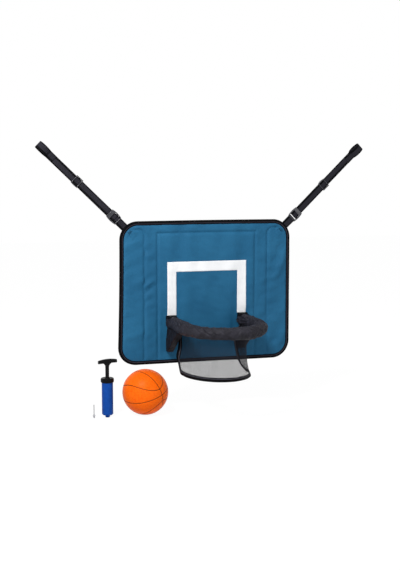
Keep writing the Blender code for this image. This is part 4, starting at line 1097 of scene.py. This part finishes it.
def vertex_values(mesh, kind):
    """Each vertex's place or the way it faces."""
    values = np.zeros(len(mesh.vertices) * 3, np.float32)
    mesh.vertices.foreach_get(kind, values)
    return values.reshape(-1, 3)


def make_wedge(word, side):
    """A cloth-covered foam gusset with welted edges."""
    wedge = softened(word + "_gusset", word + "_wedge", 0.0017, 5, wedge_cloth)
    places = vertex_values(wedge.data, "co").astype(float)
    facing = vertex_values(wedge.data, "normal")
    low, high = places.min(0), places.max(0)
    inner = np.abs(places[:, 0] - (low[0] + high[0]) / 2) > (high[0] - low[0]) * 0.4
    lift = 0.0008 * waves(places, 0.03, 91 + side) - 0.0012 * creases(places, 0.05, 95 + side, 0.2)
    lift = np.where(inner, lift * np.abs(facing[:, 0]), lift * 0.6)
    places += facing * lift[:, None]
    places[:, 1] = np.minimum(places[:, 1], RIM_END + 0.0012)
    places[:, 0] -= wedge_lean(word, places[:, 2])
    wedge.data.vertices.foreach_set("co", places.astype(np.float32).ravel())
    add(wedge, "rim", "sleeve_fabric", word + "_wedge")
    top = RIM_LOW.z + 0.002
    bottom = WEDGE_LOW.z + 0.0015
    rear = RIM_END - 0.0020
    front_low = rear - 0.0135
    edge = [(rear, top), (rear, bottom + 0.003), (rear - 0.003, bottom), (front_low, bottom),
            (front_low - 0.003, bottom + 0.002), (WEDGE_LOW.y + 0.004, top - 0.002)]
    edge = spaced(eased(edge, 2), 0.002)
    for label, x in (("outer", high[0] - 0.0012), ("inner", low[0] + 0.0012)):
        path = stack(x - wedge_lean(word, edge[:, 1]), edge[:, 0], edge[:, 1])
        welt = bar(word + "_welt_" + label, path, (1, 0, 0), ring_section(0.0009), wedge_cloth)
        add(welt, "rim", "sleeve_fabric")


def wedge_lean(word, height):
    return WEDGE_LEAN[word] * smooth(RIM_LOW.z - height, -0.012, 0.045)


def make_flap(word, side):
    """The cloth hinge over a rim end: from the board forward along the tube's top."""
    middle = side * RIM_HALF_WIDTH
    across = np.linspace(-FLAP_WIDTH / 2, FLAP_WIDTH / 2, 19)
    forward = np.concatenate([[0.0, 0.0008], np.linspace(0.002, FLAP_LENGTH + 0.004, 16)])
    drape = RIM_RADIUS - np.sqrt(np.maximum(RIM_RADIUS ** 2 - (across * 0.80) ** 2, 0))
    x, f = np.meshgrid(middle + across, forward)
    rise = RIM_HIGH.z + 0.0010 - drape[None, :] * smooth(f, 0.001, 0.012)
    ripple = 0.0004 * waves(stack(x, f), 0.02, 101 + side)
    points = stack(x, FRONT_FACE - 0.0006 - f, rise + ripple * smooth(f, 0, 0.01))
    flap = bake(thicken(skin(word + "_flap", points, flap_cloth, facing=(0, 0, 1)), 0.0009))
    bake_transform(flap)
    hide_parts(word + "_hinge_flap")
    # The patch on the board that the hinge is sewn to
    low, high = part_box(word + "_rim_patch")
    x, z = np.meshgrid(np.linspace(low.x, high.x, 14), np.linspace(low.z, high.z + 0.002, 12))
    patch = skin(word + "_patch", stack(x, low.y + 0.0002, z), flap_cloth, facing=(0, -1, 0))
    add(thicken(patch, 0.0010), "board", "sleeve_fabric", word + "_rim_patch")


def make_rim():
    make_sleeve()
    for word, side in SIDES:
        make_wedge(word, side)
        make_flap(word, side)


# Skirt

def on_path(path, share):
    far = run(path)
    return between(share * far[-1], far, path)


SKIRT_TOP = u_path(RIM_HALF_WIDTH - NET_INSET, NET_START, RIM_LEG, RIM_FRONT - RIM_LEG - NET_INSET)
SKIRT_HEM = u_path(HEM_HALF_WIDTH, HEM_START, HEM_START + HEM_LEG, HEM_FRONT, -HEM_SWAY)
TOP_RUN = run(SKIRT_TOP)[-1]
HEM_RUN = run(SKIRT_HEM)[-1]
HEM_HEIGHT = RIM_HIGH.z - NET_HEM_DROP
SKIRT_DROP = SKIRT_HIGH - HEM_HEIGHT


def skirt_run(down):
    """How far each row of the skirt lies from its top to its hem, and how long it is."""
    ease = down ** NET_EASE
    return ease, TOP_RUN * (1 - ease) + HEM_RUN * ease


def skirt_point(distance, drop, from_right=False):
    """A place on the skirt: how far it lies from a free edge and below its top."""
    down = np.clip(drop / SKIRT_DROP, 0, 1)
    ease, row = skirt_run(down)
    share = 1 - distance / row if from_right else distance / row
    plan = on_path(SKIRT_TOP, share) * (1 - ease)[..., None]
    plan = plan + on_path(SKIRT_HEM, share) * ease[..., None]
    near = np.minimum(share, 1 - share) * row
    waist = NET_WAIST * (1 - down ** NET_WAIST_END) * smooth(down, 0, NET_WAIST_START)
    waist = waist * smooth(plan[..., 0], 0, HEM_HALF_WIDTH) * (0.78 + 0.22 * smooth(near, 0, 0.07))
    rise = (down - NET_FLARE_PLACE) / NET_FLARE_SPREAD
    flare = NET_FLARE * np.exp(-rise ** 2 - share * row / NET_FLARE_REACH)
    turned_in = (1 - hump(near, 0, NET_TURN_REACH)) * hump(near, 0, 0.065)
    turned_in = turned_in * smooth(down, 0.02, 0.25) * smooth(-down, -0.94, -0.58)
    x = plan[..., 0] + NET_TURN * turned_in - waist - flare
    return stack(x, RIM_END + plan[..., 1], SKIRT_HIGH - drop)


def skirt_facing(distance, drop, from_right=False):
    step = 0.001
    along = (skirt_point(distance + step, drop, from_right)
             - skirt_point(distance - step, drop, from_right))
    down = (skirt_point(distance, np.minimum(drop + step, SKIRT_DROP), from_right)
            - skirt_point(distance, np.maximum(drop - step, 0), from_right))
    facing = np.cross(along, down)
    return facing / np.linalg.norm(facing, axis=-1, keepdims=True)


def skirt_folds(places):
    """Soft upright folds of the hanging mesh, the same for its tape."""
    return 0.0011 * waves(places * np.array([1.0, 1.0, 0.25]), 0.05, 111)[..., None]


def make_skirt():
    inset = NET_TAPE_WIDTH * 0.35
    reach = NET_CORNER - inset
    drops = np.linspace(-0.0015, SKIRT_DROP - inset, 56)
    grid_drop, share = np.meshgrid(drops, np.linspace(0, 1, 190), indexing="ij")
    _, row = skirt_run(np.clip(grid_drop / SKIRT_DROP, 0, 1))
    # The mesh's own edge follows the tape round its lower corners
    below = np.clip(grid_drop - (SKIRT_DROP - NET_CORNER), 0, reach)
    margin = np.maximum(NET_CORNER - np.sqrt(np.maximum(reach ** 2 - below ** 2, 0)), inset)
    distance = margin + (row - 2 * margin) * share
    drop = np.maximum(grid_drop, 0)
    points = skirt_point(distance, drop)
    points[..., 2] = SKIRT_HIGH - grid_drop
    points = points + skirt_facing(distance, drop) * skirt_folds(points)
    skirt = skin("net_skirt", points, net_cloth, facing=(0, -1, 0))
    add(skirt, "rim", "net_mesh", "net_mesh")
    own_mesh(skirt)


def tape_edge(inset):
    """An edge of the tape from its top to the hem's middle, as distance and drop."""
    radius = NET_CORNER - inset
    side = stack(inset, np.linspace(0, SKIRT_DROP - NET_CORNER, 40)[:-1])
    turn = np.linspace(0, pi / 2, 22)
    bend = stack(NET_CORNER - radius * np.cos(turn),
                 SKIRT_DROP - NET_CORNER + radius * np.sin(turn))
    hem = stack(np.linspace(NET_CORNER, HEM_RUN / 2, 62)[1:], SKIRT_DROP - inset)
    return np.concatenate([side, bend, hem])


def make_net_tape():
    """Folded tape round the free edges and the hem."""
    share = np.linspace(0, 1, 13)
    spot = (tape_edge(0.0)[:, None] * (1 - share)[:, None]
            + tape_edge(NET_TAPE_WIDTH)[:, None] * share[:, None])
    rise = (1 - np.abs(2 * share - 1) ** 4) ** 0.5
    groove = hump(share, 0.22, 0.06) + hump(share, 0.78, 0.06)
    thick = (0.0013 * rise - 0.0003 * groove)[:, None]
    halves = []
    for from_right in (False, True):
        place = skirt_point(spot[..., 0], spot[..., 1], from_right)
        facing = skirt_facing(spot[..., 0], spot[..., 1], from_right) * (-1 if from_right else 1)
        place = place + facing * skirt_folds(place)
        front = place + facing * thick
        back = place - facing * thick
        halves.append(np.concatenate([front, back[:, 1:-1][:, ::-1]], 1))
    points = np.concatenate([halves[0], halves[1][:-1][::-1]])
    tape = skin("net_tape", points, tape_cloth, tube=True, caps=True)
    add(tape, "rim", "binding_tape", "net_binding")
    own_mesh(tape)


# Ball

BALL_POLE = Vector((0.5225, -0.8526, 0.0007)).normalized()     # where the two round seams cross
BALL_FIRST = Vector((0.8017, 0.4915, 0.3402)).normalized()     # square to the first round seam
BALL_SECOND = BALL_FIRST.cross(BALL_POLE).normalized()         # square to the second one
SEAM_NEAR = 16.5                # degrees from the second seam to a curved one, at the poles
SEAM_SPREAD = 28.5              # and how much further half-way round
SEAM_CURVE = 1.5
SEAM_DEPTH = 0.0007             # the groove that a seam lies in
SEAM_HALF_WIDTH = 0.0013
SEAM_RADII = (0.0012, 0.0005)


def ball_direction(longitude, latitude):
    """Directions from the ball's middle: round the second seam from the pole, then off it."""
    round_it = circle(longitude) @ np.array([BALL_POLE, BALL_FIRST])
    return np.cos(latitude)[:, None] * round_it + np.sin(latitude)[:, None] * BALL_SECOND


def ball_seams():
    turn = np.radians(np.arange(0, 360, 2.0))
    curve = np.radians(SEAM_NEAR + SEAM_SPREAD * np.abs(np.sin(turn)) ** SEAM_CURVE)
    first = circle(turn) @ np.array([BALL_POLE, BALL_SECOND])
    return [first] + [ball_direction(turn, way * curve) for way in (0, 1, -1)]


def make_ball():
    seams = ball_seams()
    rows = np.linspace(-pi / 2, pi / 2, 121)[1:-1]
    lat, lon = np.meshgrid(rows, np.arange(240) * 2 * pi / 240, indexing="ij")
    way = stack(np.cos(lat) * np.cos(lon), np.cos(lat) * np.sin(lon), np.sin(lat))
    nearest = np.max([(way.reshape(-1, 3) @ seam.T).max(1) for seam in seams], 0)
    gap = np.arccos(np.clip(nearest, -1, 1)).reshape(lat.shape) * BALL_RADIUS
    radius = BALL_RADIUS - SEAM_DEPTH * hump(gap, 0, SEAM_HALF_WIDTH)
    points = np.array(BALL_CENTRE) + way * radius[..., None]
    ball = skin("ball_skin", points, ball_rubber, tube=True, caps=True)
    add(ball, "ball", "ball_rubber", "ball_shell")
    for count, seam in enumerate(seams):
        path = np.array(BALL_CENTRE) + seam * (BALL_RADIUS - 0.00045)
        points = sweep(path, seam, ring_section(SEAM_RADII), closed=True)
        strip = skin("ball_seam_" + str(count), points, seam_rubber, tube=True, ring=True)
        add(strip, "ball", "ball_rubber")


# Pump and needle

BARREL_WALL = 0.0018
BARREL_NECK = 0.0053
CAP_HOLE = 0.0064
CAP_RIBS = 28
RIB_RADII = (0.0009, 0.0006)
NOZZLE_BORE = 0.0031
NEEDLE_BORE = 0.0005
HUB_BORE = 0.0013
HUB_THREADS = 7
HUB_PITCH = 0.0008


def make_pump():
    at = (PUMP_X, 0.0)
    low, high = BARREL_LOW.z, BARREL_HIGH.z
    radius = BARREL_HIGH.x - PUMP_X
    bore = radius - BARREL_WALL
    barrel = turned("barrel", [
        (bore, high), (radius, high), (radius, low + 0.0035), (radius - 0.0003, low + 0.0028),
        (radius - 0.0026, low + 0.0003), (radius - 0.0030, low), (BARREL_NECK, low),
        (BARREL_NECK, low + 0.003), (bore, low + 0.003), (bore, high)], pump_blue, at, 72)
    add(barrel, "pump", "pump_blue", "pump_barrel")
    make_cap(at, radius + 0.0003)
    bottom = NOZZLE_LOW.z
    mouth = NOZZLE_HIGH.x - PUMP_X
    shoulder = low - 0.0003
    nozzle = turned("nozzle", [
        (NOZZLE_BORE, shoulder + 0.003), (0.0050, shoulder + 0.003), (0.0050, shoulder),
        (mouth, shoulder), (mouth, bottom + 0.0034), (mouth - 0.0006, bottom + 0.0030),
        (mouth - 0.0006, bottom + 0.0022), (mouth - 0.0002, bottom + 0.0018),
        (mouth - 0.0012, bottom), (NOZZLE_BORE, bottom), (NOZZLE_BORE, shoulder + 0.003)],
        pump_blue, at)
    add(nozzle, "pump", "pump_blue", "pump_nozzle")
    radius = ROD_HIGH.x - PUMP_X
    rod = turned("rod", [
        (0.0, ROD_LOW.z), (radius - 0.0004, ROD_LOW.z), (radius, ROD_LOW.z + 0.0006),
        (radius, ROD_HIGH.z - 0.0006), (radius - 0.0004, ROD_HIGH.z), (0.0, ROD_HIGH.z)],
        pump_black, at)
    add(rod, "plunger", "pump_black", "pump_rod")
    make_handle()


def make_cap(at, skirt):
    """The cap: a turned shell with grip ribs round it."""
    radius = CAP_HIGH.x - PUMP_X
    top, low = CAP_HIGH.z, CAP_LOW.z
    hole = CAP_HOLE
    cap = turned("cap", [
        (hole, top - 0.0008), (hole + 0.0006, top), (hole + 0.0030, top),
        (hole + 0.0036, top - 0.0012), (radius - 0.0042, top - 0.0012),
        (radius - 0.0034, top - 0.0002), (radius - 0.0012, top - 0.0008),
        (radius, top - 0.0022), (radius, low + 0.0008), (radius - 0.0006, low), (skirt, low),
        (skirt, top - 0.004), (hole, top - 0.004), (hole, top - 0.0008)], pump_black, at, 96)
    add(cap, "pump", "pump_black", "pump_cap")
    rib_low, rib_high = low + 0.002, top - 0.003
    heights = np.array([rib_low, rib_low + 0.001, rib_high - 0.001, rib_high])
    section = ring_section(RIB_RADII, 60) * np.array([0.3, 1, 1, 0.3])[:, None, None]
    ribs = []
    for count in range(CAP_RIBS):
        angle = 2 * pi * count / CAP_RIBS
        outward = np.array([cos(angle), sin(angle), 0])
        along = np.array([-sin(angle), cos(angle), 0])
        path = (PUMP_X, 0, 0) + radius * outward + stack(0.0, 0.0, heights)
        rows = path[:, None] + section[..., :1] * along + section[..., 1:] * outward
        ribs.append(skin("rib", rows, pump_black, tube=True, caps=True))
    add(joined("cap_ribs", ribs, pump_black), "pump", "pump_black")


def joined(name, pieces, finish):
    """One piece from several, all of one finish."""
    shape = bmesh.new()
    for piece in pieces:
        shape.from_mesh(piece.data)
        bpy.data.objects.remove(piece)
    mesh = bpy.data.meshes.new(name)
    shape.to_mesh(mesh)
    shape.free()
    mesh.materials.append(finish)
    return link(name, mesh)


def make_handle():
    """The grip: a crossbar that thins to blunt ends, on a web that flares from its foot."""
    share = np.linspace(-1, 1, 25)
    thick = 0.0052 + 0.0016 * (1 - share ** 2)
    deep = 0.0060 + 0.0008 * (1 - share ** 2)
    middle = HANDLE_HIGH.z - 0.0062 - 0.0022 * share ** 2 + 0.0016 * share
    ring = circle(np.radians(np.arange(0, 360, 15)))
    squarish, upward = (np.sign(ring) * np.abs(ring) ** 0.6).T
    half = (HANDLE_HIGH.x - HANDLE_LOW.x) / 2 - 0.001
    across = PUMP_X + share * half + 0.0012 * (share + 1)
    points = stack(across[:, None], deep[:, None] * squarish,
                   middle[:, None] + thick[:, None] * upward)
    grip = skin("bar", points, pump_black, tube=True, caps=True)
    rise = np.linspace(0, 1, 16)[:, None]
    spread = np.minimum(0.0058 + 0.0240 * rise ** 2.8, 0.0210)
    height = HANDLE_LOW.z + (middle.max() - HANDLE_LOW.z) * rise
    points = stack(PUMP_X + spread * squarish, (0.0070 - 0.0018 * rise) * upward, height)
    web = skin("web", points, pump_black, tube=True, caps=True)
    handle = worn(joined("pump_grip", [grip, web], pump_black), 0.0009, 5)
    add(handle, "plunger", "pump_black", "pump_handle")


def make_needle():
    x = (NEEDLE_LOW.x + NEEDLE_HIGH.x) / 2
    at = (x, 0.0)
    radius = NEEDLE_HIGH.x - x
    top = NEEDLE_HIGH.z
    shaft = turned("needle_shaft", [
        (NEEDLE_BORE, top), (radius * 0.7, top), (radius, top - 0.0008), (radius, NEEDLE_LOW.z),
        (NEEDLE_BORE, NEEDLE_LOW.z), (NEEDLE_BORE, top)], tube_steel, at, 24)
    add(shaft, "needle", "needle_steel", "needle_tube")
    radius = HUB_HIGH.x - x
    thread_top = HUB_LOW.z + 0.006
    profile = [(HUB_BORE, HUB_HIGH.z), (0.0026, HUB_HIGH.z), (radius, HUB_HIGH.z - 0.0018),
               (radius, thread_top)]
    for count in range(HUB_THREADS):
        height = thread_top - 0.0004 - count * HUB_PITCH
        profile += [(0.0026, height), (0.0022, height - 0.0004)]
    profile += [(0.0020, HUB_LOW.z), (0.0008, HUB_LOW.z), (0.0008, HUB_LOW.z + 0.005),
                (HUB_BORE, HUB_LOW.z + 0.005), (HUB_BORE, HUB_HIGH.z)]
    hub = turned("needle_base", profile, steel, at, 32)
    add(hub, "needle", "needle_steel", "needle_hub")


def give(finish, *nodes):
    """A finish for CAD nodes that stay as they are."""
    for node in nodes:
        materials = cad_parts[node].data.materials
        materials.clear()
        materials.append(finish)


# Camera, light and floor

CAMERA_PLACE = Vector((-1.0469, -3.2244, -0.0582))
CAMERA_AHEAD = Vector((0.307, 0.9447, -0.1149))
CAMERA_LENS = 67.1
CAMERA_SHIFT = (-6.9 / 570, 6.1 / 570)


def make_camera():
    data = bpy.data.cameras.new("camera")
    data.lens = CAMERA_LENS
    data.shift_x, data.shift_y = CAMERA_SHIFT
    camera = link("camera", data)
    camera.location = CAMERA_PLACE
    camera.rotation_euler = CAMERA_AHEAD.to_track_quat("-Z", "Y").to_euler()
    bpy.context.scene.camera = camera


def area_light(name, place, size, power):
    """A round lamp that points to the board's middle."""
    data = bpy.data.lights.new(name, "AREA")
    data.shape = "DISK"
    data.size = size
    data.energy = power
    light = link(name, data)
    light.location = place
    ahead = Vector((0, 0, BOARD_MIDDLE)) - Vector(place)
    light.rotation_euler = ahead.to_track_quat("-Z", "Y").to_euler()


def seen_directly(tree):
    """1 for rays that reach the camera straight or by a mirror or through glass."""
    path = make_node(tree, "LightPath").outputs
    first = make_node(tree, "Math", {0: path["Is Camera Ray"], 1: path["Is Glossy Ray"]},
                      operation="MAXIMUM")
    second = make_node(tree, "Math", {0: first.outputs[0], 1: path["Is Transmission Ray"]},
                       operation="MAXIMUM")
    return second.outputs[0]


WORLD_LIGHT = 0.40
FLOOR_GLOW = 0.86               # how much of the floor's look is plain white rather than lit
FLOOR_STRENGTH = 1.11
FLOOR_HALF = 8.0


def make_world():
    world = bpy.data.worlds.new("studio")
    world.use_nodes = True
    tree = world.node_tree
    background = tree.nodes["Background"]
    background.inputs["Color"].default_value = (1, 1, 1, 1)
    strength = make_node(tree, "MapRange", {"Value": seen_directly(tree), "To Min": WORLD_LIGHT,
                                            "To Max": 1.0})
    tree.links.new(strength.outputs["Result"], background.inputs["Strength"])
    bpy.context.scene.world = world


def make_floor():
    """A floor that looks plain white and keeps the object's shadow."""
    mesh = bpy.data.meshes.new("floor")
    mesh.from_pydata([(x * FLOOR_HALF, y * FLOOR_HALF, GROUND - 0.0004)
                      for x, y in ((-1, -1), (1, -1), (1, 1), (-1, 1))], [], [(0, 1, 2, 3)])
    finish = Finish("floor_white", 0.9, 0.0)
    tree = finish.tree
    finish.shader.inputs["Base Color"].default_value = FLOOR_GREY
    glow = finish.node("Emission", {"Color": (1, 1, 1, 1), "Strength": FLOOR_STRENGTH})
    share = finish.math("MULTIPLY", seen_directly(tree), FLOOR_GLOW)
    blend = finish.node("MixShader", {0: share, 1: finish.shader.outputs[0], 2: glow.outputs[0]})
    tree.links.new(blend.outputs[0], tree.nodes["Material Output"].inputs["Surface"])
    mesh.materials.append(finish.material)
    link("floor", mesh)


make_camera()
make_world()
make_floor()
area_light("key", (-1.3, -1.4, 1.25), 0.5, 54)
area_light("fill", (1.6, -3.2, -0.2), 1.6, 15)
area_light("front", (-1.7, -3.3, -0.1), 0.35, 9)
make_board()
make_binding()
make_target()
make_straps()
make_rim()
make_net_tape()
make_skirt()
make_ball()
make_pump()
make_needle()
give(rubber_black, "ball_valve", "pump_check_valve", "piston_seal")
give(piston_grey, "pump_piston")
give(batten_white, "left_batten", "right_batten")
give(steel, "rim_core")
give(pump_black, "left_core_plug", "right_core_plug")

bpy.context.scene.view_settings.view_transform = "Standard"
